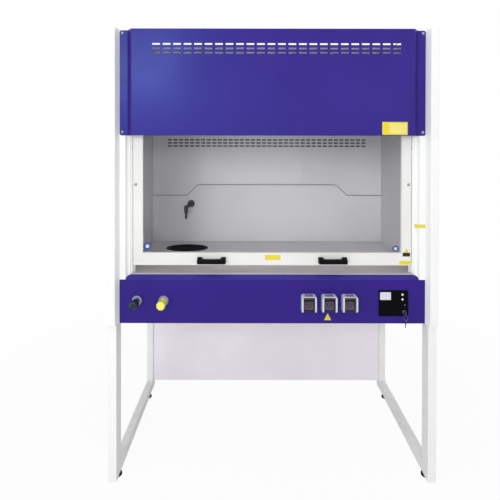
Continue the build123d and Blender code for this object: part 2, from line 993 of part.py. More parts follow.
def pull_handle(x):
    """Bow pull seen from above: a grip bar with two flared feet."""
    half = handle_length / 2
    front = sash_front - handle_reach
    notch = front + handle_bar
    with BuildPart() as pull:
        with BuildSketch(level_plane(handle_bottom)):
            with BuildLine():
                Polyline(
                    (x - half, sash_front),
                    (x - half, front),
                    (x + half, front),
                    (x + half, sash_front),
                    (x + half - handle_foot, sash_front),
                    (x + half - handle_foot - handle_flare, notch),
                    (x - half + handle_foot + handle_flare, notch),
                    (x - half + handle_foot, sash_front),
                    close=True,
                )
            make_face()
        extrude(amount=handle_height)
        corners = pull.edges().filter_by(Axis.Z).group_by(Axis.Y)[0]
        fillet(corners, 2 * handle_round)
        rims = pull.faces().sort_by(Axis.Y)[0].edges().filter_by(Axis.X)
        fillet(rims, handle_round)
    feet = [
        block(
            (side, side + handle_foot),
            (sash_front - handle_foot_depth, sash_front),
            (handle_bottom, handle_bottom + handle_height + handle_foot_rise),
        )
        for side in (x - half, x + half - handle_foot)
    ]
    return pull.part + feet


def sash_handles():
    return group([pull_handle(-handle_x), pull_handle(handle_x)])


def sash_screws():
    places = (-sash_screw_x(), sash_screw_x())
    return group([dome_screw(x, sash_front, sash_screw_z) for x in places])


def runner(bottom):
    """Plastic runner on the sash's edge, with chamfered ends."""
    width = guide_outer - sheet - running_gap - sash_half
    depth = guide_room - 2 * running_gap
    middle = (sash_half + width / 2, cable_depth, bottom + runner_height / 2)
    body = Pos(*middle) * Box(width, depth, runner_height)
    return chamfer(body.edges().filter_by(Axis.X), runner_end)


def sash_runners():
    right = [runner(upper_runner_bottom), runner(lower_runner_bottom)]
    return group([mirrored(piece) for piece in right] + right)


def right_sash_guide_pair():
    guide = right_sash_guide()
    return group([mirrored(guide), guide])


# Counterbalance

def pulley(x, depth):
    """Grooved cable pulley with a running bore."""
    half = pulley_width / 2
    groove = cable_radius + groove_gap
    seat = pulley_pitch - cable_radius - seat_gap
    with BuildPart() as wheel:
        with BuildSketch(Plane.XZ):
            with BuildLine():
                Polyline(
                    (-half, axle_radius + shaft_gap),
                    (half, axle_radius + shaft_gap),
                    (half, pulley_rim),
                    (groove + groove_flare, pulley_rim),
                    (groove, seat),
                    (-groove, seat),
                    (-groove - groove_flare, pulley_rim),
                    (-half, pulley_rim),
                    close=True,
                )
            make_face()
        revolve(axis=Axis.X)
    return Pos(x, depth, pulley_height) * wheel.part


def cheek_plate(x, depth, foot_front, foot_rear, outward):
    """One cheek of a pulley bracket with its foot on the rail."""
    base = roof_rail_middle + cross_rail / 2
    crown = bracket_half - bracket_taper
    with BuildPart() as plate:
        with BuildSketch(side_plane(x)):
            with BuildLine():
                start = (depth - crown, base)
                end = (depth + bracket_half, base)
                Line(end, (depth + crown, pulley_height))
                RadiusArc((depth + crown, pulley_height), (depth - crown, pulley_height), -crown)
                Line((depth - crown, pulley_height), start)
                Line(start, end)
            make_face()
            with Locations((depth, pulley_height)):
                Circle(axle_radius + shaft_gap, mode=Mode.SUBTRACT)
        extrude(amount=bracket_plate)
    foot_x = (x, x + bracket_foot) if outward else (x + bracket_plate - bracket_foot, x + bracket_plate)
    foot = block(foot_x, (foot_front, foot_rear), (base, base + bracket_plate))
    return plate.part + foot


def right_pulley_brackets():
    """Cheek plates either side of the front and rear pulleys."""
    inner_x = cable_x - pulley_width / 2 - cheek_gap - bracket_plate
    outer_x = cable_x + pulley_width / 2 + cheek_gap
    cheeks = []
    for depth, rail_front in (
        (front_pulley_depth, front_roof_rail),
        (rear_pulley_depth, rear_roof_rail),
    ):
        foot_front = max(rail_front, depth - bracket_half + bracket_taper)
        foot_rear = min(rail_front + cross_rail, depth + bracket_half)
        cheeks.append(cheek_plate(inner_x, depth, foot_front, foot_rear, False))
        cheeks.append(cheek_plate(outer_x, depth, foot_front, foot_rear, True))
    return cheeks


def pulley_brackets():
    right = right_pulley_brackets()
    return group([mirrored(piece) for piece in right] + right)


def pulley_axles():
    """Headed pins through the brackets and pulleys."""
    reach = pulley_width / 2 + cheek_gap + bracket_plate + axle_end
    pins = []
    for depth in (front_pulley_depth, rear_pulley_depth):
        pins.append(rod((depth, pulley_height), axle_radius, side_plane(cable_x - reach), 2 * reach))
    return group([mirrored(pin) for pin in pins] + pins)


def upright_cable(depth, bottom):
    """A straight stretch of cable that hangs below a pulley."""
    return rod((cable_x, depth), cable_radius, level_plane(bottom), cable_split - bottom)


def front_cables():
    right = upright_cable(cable_depth, upper_runner_bottom + runner_height + running_gap)
    return group([mirrored(right), right])


def rear_cables():
    right = upright_cable(rear_cable_depth, counterweight_top + eye_height + running_gap)
    return group([mirrored(right), right])


def top_cables():
    """The cable's run over both pulleys: straight runs joined by arcs of the pulleys' size."""
    crown = pulley_height + pulley_pitch
    with BuildPart() as cable:
        with BuildLine() as route:
            FilletPolyline(
                (cable_x, cable_depth, cable_split),
                (cable_x, cable_depth, crown),
                (cable_x, rear_cable_depth, crown),
                (cable_x, rear_cable_depth, cable_split),
                radius=pulley_pitch,
            )
        with BuildSketch(Plane(origin=(cable_x, cable_depth, cable_split), z_dir=(0, 0, 1))):
            Circle(cable_radius)
        sweep(path=route.wire())
    expected = pi * cable_radius ** 2 * route.wire().length
    print("top cable radii", [pulley_pitch, pulley_pitch], "volume ratio", cable.part.volume / expected)
    return group([mirrored(cable.part), cable.part])


def counterweight():
    """Steel bar that balances the sash, with two cable eyes."""
    with BuildPart() as bar:
        with BuildSketch(side_plane(-counterweight_half)):
            with Locations((rear_cable_depth, counterweight_top - counterweight_height / 2)):
                RectangleRounded(counterweight_depth, counterweight_height, counterweight_corner)
        extrude(amount=2 * counterweight_half)
        with BuildSketch(level_plane(counterweight_top)):
            with Locations((cable_x, rear_cable_depth), (-cable_x, rear_cable_depth)):
                Circle(eye_radius)
        extrude(amount=eye_height)
    return bar.part


# Services

def valve_flanges():
    """Round cover plates behind the two knobs."""
    plates = []
    for x in valve_x:
        with BuildPart() as plate:
            with BuildSketch(front_plane(front_setback)):
                with Locations((x, valve_z)):
                    Circle(flange_radius)
                    Circle(stem_radius + stem_hole_gap / 2, mode=Mode.SUBTRACT)
            extrude(amount=flange_thickness)
            outer = plate.faces().sort_by(Axis.Y)[0].edges().sort_by(SortBy.RADIUS)[-1]
            chamfer(outer, flange_edge)
        plates.append(plate.part)
    return group(plates)


def valve_bodies():
    """Brass valves behind the apron, bored for the knobs' stems."""
    bodies = []
    for x in valve_x:
        start = front_setback + sheet
        with BuildPart() as valve:
            with BuildSketch(front_plane(start)):
                with Locations((x, valve_z)):
                    RegularPolygon(valve_nut_radius, 6)
            extrude(amount=-valve_nut_length)
            with BuildSketch(front_plane(start)):
                with Locations((x, valve_z)):
                    Circle(valve_radius)
            extrude(amount=-valve_length)
            with BuildSketch(front_plane(start + valve_length)):
                with Locations((x, valve_z)):
                    Circle(valve_tail_radius)
            extrude(amount=-valve_tail)
            with BuildSketch(front_plane(start)):
                with Locations((x, valve_z)):
                    Circle(stem_radius + shaft_gap)
            extrude(amount=-stem_depth, mode=Mode.SUBTRACT)
        bodies.append(valve.part)
    return group(bodies)


def tap_knob(x, radii, grip_length, flutes):
    """Fluted knob on a tapered neck, with its stem through the apron."""
    neck_radius, grip_radius, end_radius = radii
    base = front_setback - flange_thickness - knob_gap
    end = -knob_reach
    grip_start = end + grip_length
    stem_end = front_setback + sheet + stem_depth - stem_hole_gap
    with BuildPart() as knob:
        with BuildSketch(Plane.XZ):
            with BuildLine():
                Polyline(
                    (0, -stem_end),
                    (stem_radius, -stem_end),
                    (stem_radius, -base),
                    (neck_radius, -base),
                    (neck_radius, -(base + grip_start) / 2),
                    (grip_radius, -grip_start),
                    (grip_radius, -end - knob_end_bevel),
                    (end_radius, -end),
                    (0, -end),
                    close=True,
                )
            make_face()
        revolve(axis=Axis.Z)
        with BuildSketch(level_plane(-grip_start - cut)):
            with PolarLocations(grip_radius + flute_radius - flute_depth, flutes):
                Circle(flute_radius)
        extrude(amount=grip_length + 2 * cut, mode=Mode.SUBTRACT)
    return Pos(x, 0, valve_z) * Rot(90, 0, 0) * knob.part


def water_outlet():
    """Outlet through the lower baffle: a pipe that turns to a hanging nozzle."""
    arm_end = nozzle_bottom + nozzle_height - nozzle_arm_drop
    with BuildPart() as outlet:
        with BuildSketch(front_plane(lower_baffle_depth)):
            with Locations((outlet_x, outlet_z)):
                Circle(outlet_flange)
        extrude(amount=outlet_flange_thickness)
        with BuildLine() as route:
            FilletPolyline(
                (outlet_x, pipe_depth, outlet_z),
                (outlet_x, lower_baffle_depth - outlet_straight, outlet_z),
                (nozzle_x, nozzle_depth, arm_end),
                radius=outlet_bend,
            )
        with BuildSketch(Plane(origin=(outlet_x, pipe_depth, outlet_z), z_dir=(0, -1, 0))):
            Circle(outlet_pipe)
        sweep(path=route.wire())
    barrel = rod((nozzle_x, nozzle_depth), nozzle_radius, level_plane(nozzle_bottom), nozzle_height)
    barrel = chamfer(barrel.edges().filter_by(GeomType.CIRCLE), nozzle_edge)
    with BuildPart() as tip:
        with BuildSketch(level_plane(nozzle_bottom + cut)):
            with Locations((nozzle_x, nozzle_depth)):
                Circle(tip_radius)
        extrude(amount=-tip_length - cut, taper=tip_taper)
    elbow = Pos(outlet_x, pipe_depth, outlet_z) * Box(
        2 * outlet_elbow, 2 * outlet_elbow, 2 * outlet_elbow
    )
    elbow = chamfer(elbow.edges().filter_by(Axis.Z), outlet_elbow_corner)
    return outlet.part + barrel + tip.part + elbow


def water_pipe():
    """Copper pipe from the water valve to the outlet, bent with the pipe's own bend."""
    start = front_setback + sheet + valve_length + valve_tail
    top = outlet_z - outlet_elbow
    points = [
        (valve_x[0], start, valve_z),
        (valve_x[0], pipe_depth, valve_z),
        (outlet_x, pipe_depth, valve_z),
        (outlet_x, pipe_depth, top),
    ]
    with BuildPart() as pipe:
        with BuildLine() as route:
            FilletPolyline(*points, radius=pipe_bend)
        with BuildSketch(Plane(origin=points[0], z_dir=(0, 1, 0))):
            Circle(pipe_radius)
        sweep(path=route.wire())
    return pipe.part


# Sockets

def socket_housing(x):
    """Hooded socket body: two cheeks, a thin roof and a recess between them."""
    front = front_setback - socket_depth
    brow_front = front + socket_brow_depth
    with BuildPart() as body:
        with BuildSketch(side_plane(x - socket_width / 2)):
            with BuildLine():
                Polyline(
                    (front_setback, socket_bottom),
                    (front + socket_chin, socket_bottom),
                    (front, socket_bottom + socket_chin),
                    (front, socket_top - socket_brow_height),
                    (brow_front, socket_top),
                    (front_setback, socket_top),
                    close=True,
                )
            make_face()
        extrude(amount=socket_width)
        sides = body.edges().filter_by(Axis.Y).group_by(Axis.Z)[-1]
        chamfer(sides, socket_shoulder)
    recess = block(
        (x - socket_width / 2 + socket_cheek, x + socket_width / 2 - socket_cheek),
        (front - cut, front_setback - socket_back),
        (socket_bottom - cut, socket_top - socket_lip),
    )
    well = block(
        (x - insert_plate / 2, x + insert_plate / 2),
        (front, front_setback + cut),
        (socket_plate_z - insert_plate / 2, socket_plate_z + insert_plate / 2),
    )
    pin = rod(
        (lid_hinge_depth(), lid_hinge_z()),
        lid_pin_radius + shaft_gap,
        side_plane(x - socket_width / 2 + lid_pin_cover),
        socket_width - 2 * lid_pin_cover,
    )
    return body.part - recess - well - pin


def lid_hinge_depth():
    return front_setback - socket_depth + lid_setback + lid_pin_radius + lid_gap


def lid_hinge_z():
    return socket_top - socket_lip - lid_hinge_drop


def socket_housings():
    return group([socket_housing(x) for x in socket_x])


def socket_insert(x):
    """Socket insert seated in the recess, with three plug holes."""
    back = front_setback - socket_back
    recess_half = socket_width / 2 - socket_cheek - socket_recess_gap
    with BuildPart() as insert:
        with BuildSketch(front_plane(back)):
            with Locations((x, socket_plate_z)):
                Rectangle(2 * recess_half, insert_plate + 2 * insert_margin)
        extrude(amount=insert_depth - insert_plate_proud)
        with BuildSketch(front_plane(back - insert_depth + insert_plate_proud)):
            with Locations((x, socket_plate_z)):
                Rectangle(insert_plate, insert_plate - insert_margin)
        extrude(amount=insert_plate_proud)
        with BuildSketch(front_plane(back)):
            with Locations((x, socket_plate_z)):
                Rectangle(insert_plate - lid_gap, insert_plate - lid_gap)
        extrude(amount=-(socket_back + insert_tail))
        with BuildSketch(front_plane(back)):
            with Locations(
                (x - plug_hole_x, socket_plate_z + plug_hole_z),
                (x + plug_hole_x, socket_plate_z + plug_hole_z),
                (x, socket_plate_z - plug_hole_z),
            ):
                Circle(plug_hole)
        extrude(amount=insert_depth + cut, mode=Mode.SUBTRACT)
    return insert.part


def socket_inserts():
    return group([socket_insert(x) for x in socket_x])


def socket_lid(x):
    """Smoked lid that hangs between the cheeks from its hinge pin."""
    half = socket_width / 2 - socket_cheek - lid_side_gap
    hinge = (lid_hinge_depth(), lid_hinge_z())
    eye = lid_pin_radius + lid_eye
    front = hinge[0] - eye
    bottom = socket_bottom + lid_bottom_gap
    with BuildPart() as lid:
        with BuildSketch(side_plane(x - half)):
            with BuildLine():
                Polyline(
                    (front, bottom),
                    (front, hinge[1]),
                    (front + lid_gap, hinge[1] + eye),
                    (hinge[0] + eye, hinge[1] + eye),
                    (hinge[0] + eye, hinge[1] - eye),
                    (front + lid_thickness, hinge[1] - eye - lid_gap),
                    (front + lid_thickness, bottom),
                    close=True,
                )
            make_face()
        extrude(amount=2 * half)
    pin_half = half + lid_pin_reach
    pin = rod(hinge, lid_pin_radius, side_plane(x - pin_half), 2 * pin_half)
    return lid.part + pin


# Control panel

def control_panel():
    """Switch box let into the apron, with a face plate that overlaps the cut-out."""
    box_x = panel_width / 2 - box_margin
    box_z = panel_height / 2 - box_margin
    with BuildPart() as panel:
        with BuildSketch(front_plane(front_setback)):
            with Locations((panel_x, panel_z)):
                RectangleRounded(panel_width, panel_height, panel_corner)
        extrude(amount=panel_thickness)
        with BuildSketch(front_plane(front_setback)):
            with Locations((panel_x, panel_z)):
                Rectangle(2 * box_x, 2 * box_z)
        extrude(amount=-box_depth)
        with BuildSketch(front_plane(front_setback)):
            with Locations((panel_x, panel_z)):
                Rectangle(2 * (box_x - box_wall), 2 * (box_z - box_wall))
        extrude(amount=box_wall - box_depth, mode=Mode.SUBTRACT)
        with BuildSketch(front_plane(front_setback + cut)):
            with Locations(*[(button_x, z) for z in button_z]):
                Circle(button_radius + running_gap)
            with Locations((lamp_lens_x, lamp_lens_z)):
                Circle(lamp_lens_radius)
            with Locations((lock_x, lock_z)):
                Circle(barrel_radius + sleeve_wall + lamp_hole_gap)
        extrude(amount=panel_thickness + 2 * cut, mode=Mode.SUBTRACT)
    return panel.part


def push_button(z):
    """Round push button that slides through the face plate, with a stop flange behind it."""
    face = front_setback - panel_thickness
    with BuildPart() as button:
        with BuildSketch(front_plane(face - button_proud)):
            with Locations((button_x, z)):
                Circle(button_radius)
        extrude(amount=-button_length)
        rim = button.faces().sort_by(Axis.Y)[0].edges()
        chamfer(rim, button_edge)
        with BuildSketch(front_plane(front_setback + running_gap)):
            with Locations((button_x, z)):
                Circle(button_radius + button_flange)
        extrude(amount=-button_flange)
    return button.part


def indicator_lamp():
    """Small domed lens in the face plate."""
    face = front_setback - panel_thickness
    with BuildPart() as lens:
        with BuildSketch(front_plane(front_setback + lens_tail)):
            with Locations((lamp_lens_x, lamp_lens_z)):
                Circle(lamp_lens_radius)
        extrude(amount=front_setback + lens_tail - face + lens_dome)
        chamfer(lens.faces().sort_by(Axis.Y)[0].edges(), button_edge)
    return lens.part


def key_lock():
    """Fixed bezel and sleeve of the key switch."""
    face = front_setback - panel_thickness
    with BuildPart() as lock:
        with BuildSketch(front_plane(face)):
            with Locations((lock_x, lock_z)):
                Circle(lock_radius)
        extrude(amount=lock_proud)
        chamfer(lock.faces().sort_by(Axis.Y)[0].edges(), button_edge)
        with BuildSketch(front_plane(face)):
            with Locations((lock_x, lock_z)):
                Circle(barrel_radius + sleeve_wall)
        extrude(amount=-(barrel_length - lock_proud))
        with BuildSketch(front_plane(face - lock_proud - cut)):
            with Locations((lock_x, lock_z)):
                Circle(barrel_radius + shaft_gap)
        extrude(amount=-(barrel_length + 2 * cut), mode=Mode.SUBTRACT)
    return lock.part


def lock_barrel():
    """Turning barrel with the slot that takes the key's blade."""
    face = front_setback - panel_thickness - lock_proud
    with BuildPart() as barrel:
        with BuildSketch(front_plane(face + barrel_recess)):
            with Locations((lock_x, lock_z)):
                Circle(barrel_radius)
        extrude(amount=-(barrel_length - barrel_recess))
        with BuildSketch(front_plane(face - cut)):
            with Locations((lock_x, lock_z)):
                Rectangle(key_thickness, key_blade_height)
        extrude(amount=-(key_blade_length + cut), mode=Mode.SUBTRACT)
    return barrel.part


def key_hole_place():
    """Depth and height of the hole in the bow of the key in the lock."""
    face = front_setback - panel_thickness - lock_proud
    return face - key_bow_gap - key_bow_radius + key_hole_shift, lock_z - key_hole_drop


def lock_key():
    """Flat key in the lock: a blade in the barrel and a round bow outside."""
    face = front_setback - panel_thickness - lock_proud
    bow_depth = face - key_bow_gap - key_bow_radius + key_bow_shift
    hole = key_hole_place()
    with BuildPart() as key:
        with BuildSketch(side_plane(lock_x - key_thickness / 2)):
            with Locations((bow_depth, lock_z)):
                Circle(key_bow_radius)
            with Locations(((bow_depth + face + key_blade_length) / 2, lock_z)):
                Rectangle(face + key_blade_length - bow_depth, key_blade_height)
            with Locations(hole):
                Circle(key_hole_radius, mode=Mode.SUBTRACT)
        extrude(amount=key_thickness)
    return key.part


def ring_centre():
    """Centre of the key ring, which hangs with its wire resting in the bow's hole."""
    hole_depth, hole_z = key_hole_place()
    rest = key_hole_radius - ring_wire - ring_rest
    return (lock_x, hole_depth, hole_z - rest - ring_radius)


def key_ring():
    """Wire ring that hangs in the bow of the key."""
    return Pos(*ring_centre()) * Rot(90, 0, 0) * Torus(ring_radius, ring_wire)


def spare_key():
    """Second key, hanging by its bow from the ring."""
    x, depth, z = ring_centre()
    hole_z = z - ring_radius - (key_hole_radius - ring_wire - ring_rest)
    bow_z = hole_z - key_bow_radius + key_hole_radius + key_rim
    with BuildPart() as key:
        with BuildSketch(side_plane(x - key_thickness / 2)):
            with Locations((depth, bow_z)):
                Circle(key_bow_radius)
            with Locations((depth, bow_z - (key_bow_radius + key_blade_length) / 2)):
                Rectangle(key_blade_height, key_bow_radius + key_blade_length)
            with Locations((depth, hole_z)):
                Circle(key_hole_radius, mode=Mode.SUBTRACT)
        extrude(amount=key_thickness)
    return key.part


def all_pieces():
    """Every node of the hood with its name."""
    frame = right_side_frame()
    panel = right_outer_panel()
    post = right_front_post()
    pieces = {
        "left_side_frame": group([mirrored(tube) for tube in frame.solids()]),
        "right_side_frame": frame,
        "cross_rails": cross_rails(),
        "floor_pads": floor_pads(),
        "left_outer_panel": mirrored(panel),
        "right_outer_panel": panel,
        "left_front_post": mirrored(post),
        "right_front_post": post,
        "sash_guides": right_sash_guide_pair(),
        "fascia": fascia(),
        "fascia_screws": fascia_screws(),
        "apron": apron(),
        "worktop": worktop(),
        "drip_cup": drip_cup(),
        "side_liners": side_liners(),
        "roof_panel": roof_panel(),
        "exhaust_collar": exhaust_collar(),
        "lamp_housing": lamp_housing(),
        "lamp_diffuser": lamp_diffuser(),
        "upper_baffle": upper_baffle(),
        "lower_baffle": lower_baffle(),
        "baffle_spacers": baffle_spacers(),
        "inner_rear_wall": inner_rear_wall(),
        "rear_cover": rear_cover(),
        "rear_lower_panel": rear_lower_panel(),
        "sash_frame": sash_frame(),
        "sash_glass": sash_glass(),
        "sash_handles": sash_handles(),
        "sash_screws": sash_screws(),
        "sash_runners": sash_runners(),
        "pulley_brackets": pulley_brackets(),
        "pulley_axles": pulley_axles(),
        "top_cables": top_cables(),
        "front_cables": front_cables(),
        "rear_cables": rear_cables(),
        "counterweight": counterweight(),
        "valve_flanges": valve_flanges(),
        "valve_bodies": valve_bodies(),
        "water_knob": tap_knob(valve_x[0], water_knob_radii, water_grip_length, water_knob_flutes),
        "gas_knob": tap_knob(valve_x[1], gas_knob_radii, gas_grip_length, gas_knob_flutes),
        "water_outlet": water_outlet(),
        "water_pipe": water_pipe(),
        "socket_housings": socket_housings(),
        "socket_inserts": socket_inserts(),
        "control_panel": control_panel(),
        "indicator_lamp": indicator_lamp(),
        "upper_button": push_button(button_z[0]),
        "lower_button": push_button(button_z[1]),
        "key_lock": key_lock(),
        "lock_barrel": lock_barrel(),
        "lock_key": lock_key(),
        "key_ring": key_ring(),
        "spare_key": spare_key(),
    }
    for side, x in (("left", -cable_x), ("right", cable_x)):
        pieces[f"{side}_front_pulley"] = pulley(x, front_pulley_depth)
        pieces[f"{side}_rear_pulley"] = pulley(x, rear_pulley_depth)
    for name, x in zip(("left", "middle", "right"), socket_x):
        pieces[f"{name}_socket_lid"] = socket_lid(x)
    return pieces


os.makedirs("parts", exist_ok=True)
for name, piece in all_pieces().items():
    export_step(centred(piece), f"parts/{name}.step")
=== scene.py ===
from math import pi, radians

import bmesh
import bpy
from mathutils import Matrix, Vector


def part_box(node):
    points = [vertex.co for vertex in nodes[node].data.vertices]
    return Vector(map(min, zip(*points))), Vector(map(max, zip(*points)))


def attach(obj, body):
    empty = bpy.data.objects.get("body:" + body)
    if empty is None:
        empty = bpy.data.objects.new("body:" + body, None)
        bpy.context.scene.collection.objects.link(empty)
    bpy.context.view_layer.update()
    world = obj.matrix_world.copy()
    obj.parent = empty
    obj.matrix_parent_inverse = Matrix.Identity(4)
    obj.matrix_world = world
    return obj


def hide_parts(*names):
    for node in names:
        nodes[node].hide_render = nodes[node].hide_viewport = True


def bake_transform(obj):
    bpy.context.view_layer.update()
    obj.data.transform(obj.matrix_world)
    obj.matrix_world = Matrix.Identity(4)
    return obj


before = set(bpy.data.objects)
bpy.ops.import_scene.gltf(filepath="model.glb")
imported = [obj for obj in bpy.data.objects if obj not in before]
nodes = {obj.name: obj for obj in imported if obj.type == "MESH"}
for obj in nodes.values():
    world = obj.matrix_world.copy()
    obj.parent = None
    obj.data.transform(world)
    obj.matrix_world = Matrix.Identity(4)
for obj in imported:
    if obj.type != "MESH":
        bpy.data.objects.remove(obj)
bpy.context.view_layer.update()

MM = 0.001

# Camera, as fitted to the legs, rails, head panel and chamber corners
CAMERA_PLACE = (-0.1093, -2.5731, 1.681)
CAMERA_LENS = 32.13
CAMERA_TILT = -0.0074
CAMERA_ROLL = -0.0015
CAMERA_SHIFT = (-0.0004, -0.2157)


def place_camera():
    data = bpy.data.cameras.new("camera")
    data.lens = CAMERA_LENS
    data.sensor_width = 36.0
    data.shift_x, data.shift_y = CAMERA_SHIFT
    camera = bpy.data.objects.new("camera", data)
    camera.location = CAMERA_PLACE
    camera.rotation_euler = (pi / 2 + CAMERA_TILT, CAMERA_ROLL, 0)
    bpy.context.scene.collection.objects.link(camera)
    bpy.context.scene.camera = camera


# Shader helpers

def colour(red, green, blue, alpha=1.0):
    """A screen colour of 0 to 255 steps as the linear colour that a shader reads."""
    def linear(value):
        share = value / 255
        return share / 12.92 if share <= 0.04045 else ((share + 0.055) / 1.055) ** 2.4
    return (linear(red), linear(green), linear(blue), alpha)


def node(tree, kind, at, **values):
    made = tree.nodes.new(kind)
    made.location = at
    for name, value in values.items():
        setattr(made, name, value)
    return made


def new_group(name, inputs, outputs):
    """An empty node group with its input and output sockets."""
    tree = bpy.data.node_groups.new(name, "ShaderNodeTree")
    for label, kind, value in inputs:
        socket = tree.interface.new_socket(name=label, in_out="INPUT", socket_type=kind)
        socket.default_value = value
    for label, kind in outputs:
        tree.interface.new_socket(name=label, in_out="OUTPUT", socket_type=kind)
    entry = node(tree, "NodeGroupInput", (-900, 0))
    end = node(tree, "NodeGroupOutput", (700, 0))
    return tree, entry, end


def cloudy_tone_group():
    """Two tones drifting into each other over the surface, as on rolled or sprayed panels."""
    tree, entry, end = new_group(
        "cloudy tone",
        [("Tone", "NodeSocketColor", (0.8, 0.8, 0.8, 1)),
         ("Other Tone", "NodeSocketColor", (0.7, 0.7, 0.7, 1)),
         ("Size", "NodeSocketFloat", 3.0)],
        [("Colour", "NodeSocketColor"), ("Mask", "NodeSocketFloat")],
    )
    place = node(tree, "ShaderNodeTexCoord", (-900, -250))
    cloud = node(tree, "ShaderNodeTexNoise", (-650, -100))
    cloud.inputs["Detail"].default_value = 5.0
    cloud.inputs["Roughness"].default_value = 0.55
    spread = node(tree, "ShaderNodeMapRange", (-400, -100), interpolation_type="SMOOTHSTEP")
    spread.inputs["From Min"].default_value = 0.35
    spread.inputs["From Max"].default_value = 0.68
    blend = node(tree, "ShaderNodeMix", (-100, 100), data_type="RGBA")
    link = tree.links.new
    link(place.outputs["Object"], cloud.inputs["Vector"])
    link(entry.outputs["Size"], cloud.inputs["Scale"])
    link(cloud.outputs["Fac"], spread.inputs["Value"])
    link(spread.outputs["Result"], blend.inputs["Factor"])
    link(entry.outputs["Tone"], blend.inputs["A"])
    link(entry.outputs["Other Tone"], blend.inputs["B"])
    link(blend.outputs["Result"], end.inputs["Colour"])
    link(spread.outputs["Result"], end.inputs["Mask"])
    return tree


def sprayed_skin_group():
    """Height of a sprayed coat: a fine orange peel over a slow waviness of the sheet."""
    tree, entry, end = new_group(
        "sprayed skin",
        [("Peel Size", "NodeSocketFloat", 260.0), ("Peel Height", "NodeSocketFloat", 0.25),
         ("Wave Size", "NodeSocketFloat", 2.2), ("Wave Height", "NodeSocketFloat", 1.0)],
        [("Height", "NodeSocketFloat")],
    )
    place = node(tree, "ShaderNodeTexCoord", (-900, -250))
    peel = node(tree, "ShaderNodeTexNoise", (-650, 150))
    peel.inputs["Detail"].default_value = 2.0
    wave = node(tree, "ShaderNodeTexNoise", (-650, -150))
    wave.inputs["Detail"].default_value = 1.0
    peel_part = node(tree, "ShaderNodeMath", (-350, 150), operation="MULTIPLY")
    wave_part = node(tree, "ShaderNodeMath", (-350, -150), operation="MULTIPLY")
    both = node(tree, "ShaderNodeMath", (-100, 0), operation="ADD")
    link = tree.links.new
    link(place.outputs["Object"], peel.inputs["Vector"])
    link(place.outputs["Object"], wave.inputs["Vector"])
    link(entry.outputs["Peel Size"], peel.inputs["Scale"])
    link(entry.outputs["Wave Size"], wave.inputs["Scale"])
    link(peel.outputs["Fac"], peel_part.inputs[0])
    link(entry.outputs["Peel Height"], peel_part.inputs[1])
    link(wave.outputs["Fac"], wave_part.inputs[0])
    link(entry.outputs["Wave Height"], wave_part.inputs[1])
    link(peel_part.outputs[0], both.inputs[0])
    link(wave_part.outputs[0], both.inputs[1])
    link(both.outputs[0], end.inputs["Height"])
    return tree


def specks_group():
    """Fine specks of another tone, as in cast worktops and moulded plastics."""
    tree, entry, end = new_group(
        "specks",
        [("Colour", "NodeSocketColor", (0.5, 0.5, 0.5, 1)),
         ("Speck Colour", "NodeSocketColor", (0.3, 0.3, 0.3, 1)),
         ("Size", "NodeSocketFloat", 400.0), ("Share", "NodeSocketFloat", 0.3)],
        [("Colour", "NodeSocketColor"), ("Mask", "NodeSocketFloat")],
    )
    place = node(tree, "ShaderNodeTexCoord", (-900, -250))
    grains = node(tree, "ShaderNodeTexVoronoi", (-650, -100))
    edge = node(tree, "ShaderNodeMath", (-400, -100), operation="LESS_THAN")
    blend = node(tree, "ShaderNodeMix", (-100, 100), data_type="RGBA")
    link = tree.links.new
    link(place.outputs["Object"], grains.inputs["Vector"])
    link(entry.outputs["Size"], grains.inputs["Scale"])
    link(grains.outputs["Distance"], edge.inputs[0])
    link(entry.outputs["Share"], edge.inputs[1])
    link(edge.outputs[0], blend.inputs["Factor"])
    link(entry.outputs["Colour"], blend.inputs["A"])
    link(entry.outputs["Speck Colour"], blend.inputs["B"])
    link(blend.outputs["Result"], end.inputs["Colour"])
    link(edge.outputs[0], end.inputs["Mask"])
    return tree


def settled_dust_group():
    """Mask of the thin dust that settles on faces that look up."""
    tree, entry, end = new_group(
        "settled dust",
        [("Size", "NodeSocketFloat", 18.0), ("Amount", "NodeSocketFloat", 0.4)],
        [("Mask", "NodeSocketFloat")],
    )
    place = node(tree, "ShaderNodeTexCoord", (-900, -250))
    facing = node(tree, "ShaderNodeNewGeometry", (-900, 200))
    split = node(tree, "ShaderNodeSeparateXYZ", (-650, 200))
    upward = node(tree, "ShaderNodeMapRange", (-400, 200))
    upward.inputs["From Min"].default_value = 0.6
    upward.inputs["From Max"].default_value = 1.0
    fleck = node(tree, "ShaderNodeTexNoise", (-650, -100))
    fleck.inputs["Detail"].default_value = 6.0
    patchy = node(tree, "ShaderNodeMapRange", (-400, -100))
    patchy.inputs["From Min"].default_value = 0.4
    patchy.inputs["From Max"].default_value = 0.75
    both = node(tree, "ShaderNodeMath", (-100, 100), operation="MULTIPLY")
    scaled = node(tree, "ShaderNodeMath", (150, 100), operation="MULTIPLY")
    link = tree.links.new
    link(facing.outputs["Normal"], split.inputs[0])
    link(split.outputs["Z"], upward.inputs["Value"])
    link(place.outputs["Object"], fleck.inputs["Vector"])
    link(entry.outputs["Size"], fleck.inputs["Scale"])
    link(fleck.outputs["Fac"], patchy.inputs["Value"])
    link(upward.outputs["Result"], both.inputs[0])
    link(patchy.outputs["Result"], both.inputs[1])
    link(both.outputs[0], scaled.inputs[0])
    link(entry.outputs["Amount"], scaled.inputs[1])
    link(scaled.outputs[0], end.inputs["Mask"])
    return tree


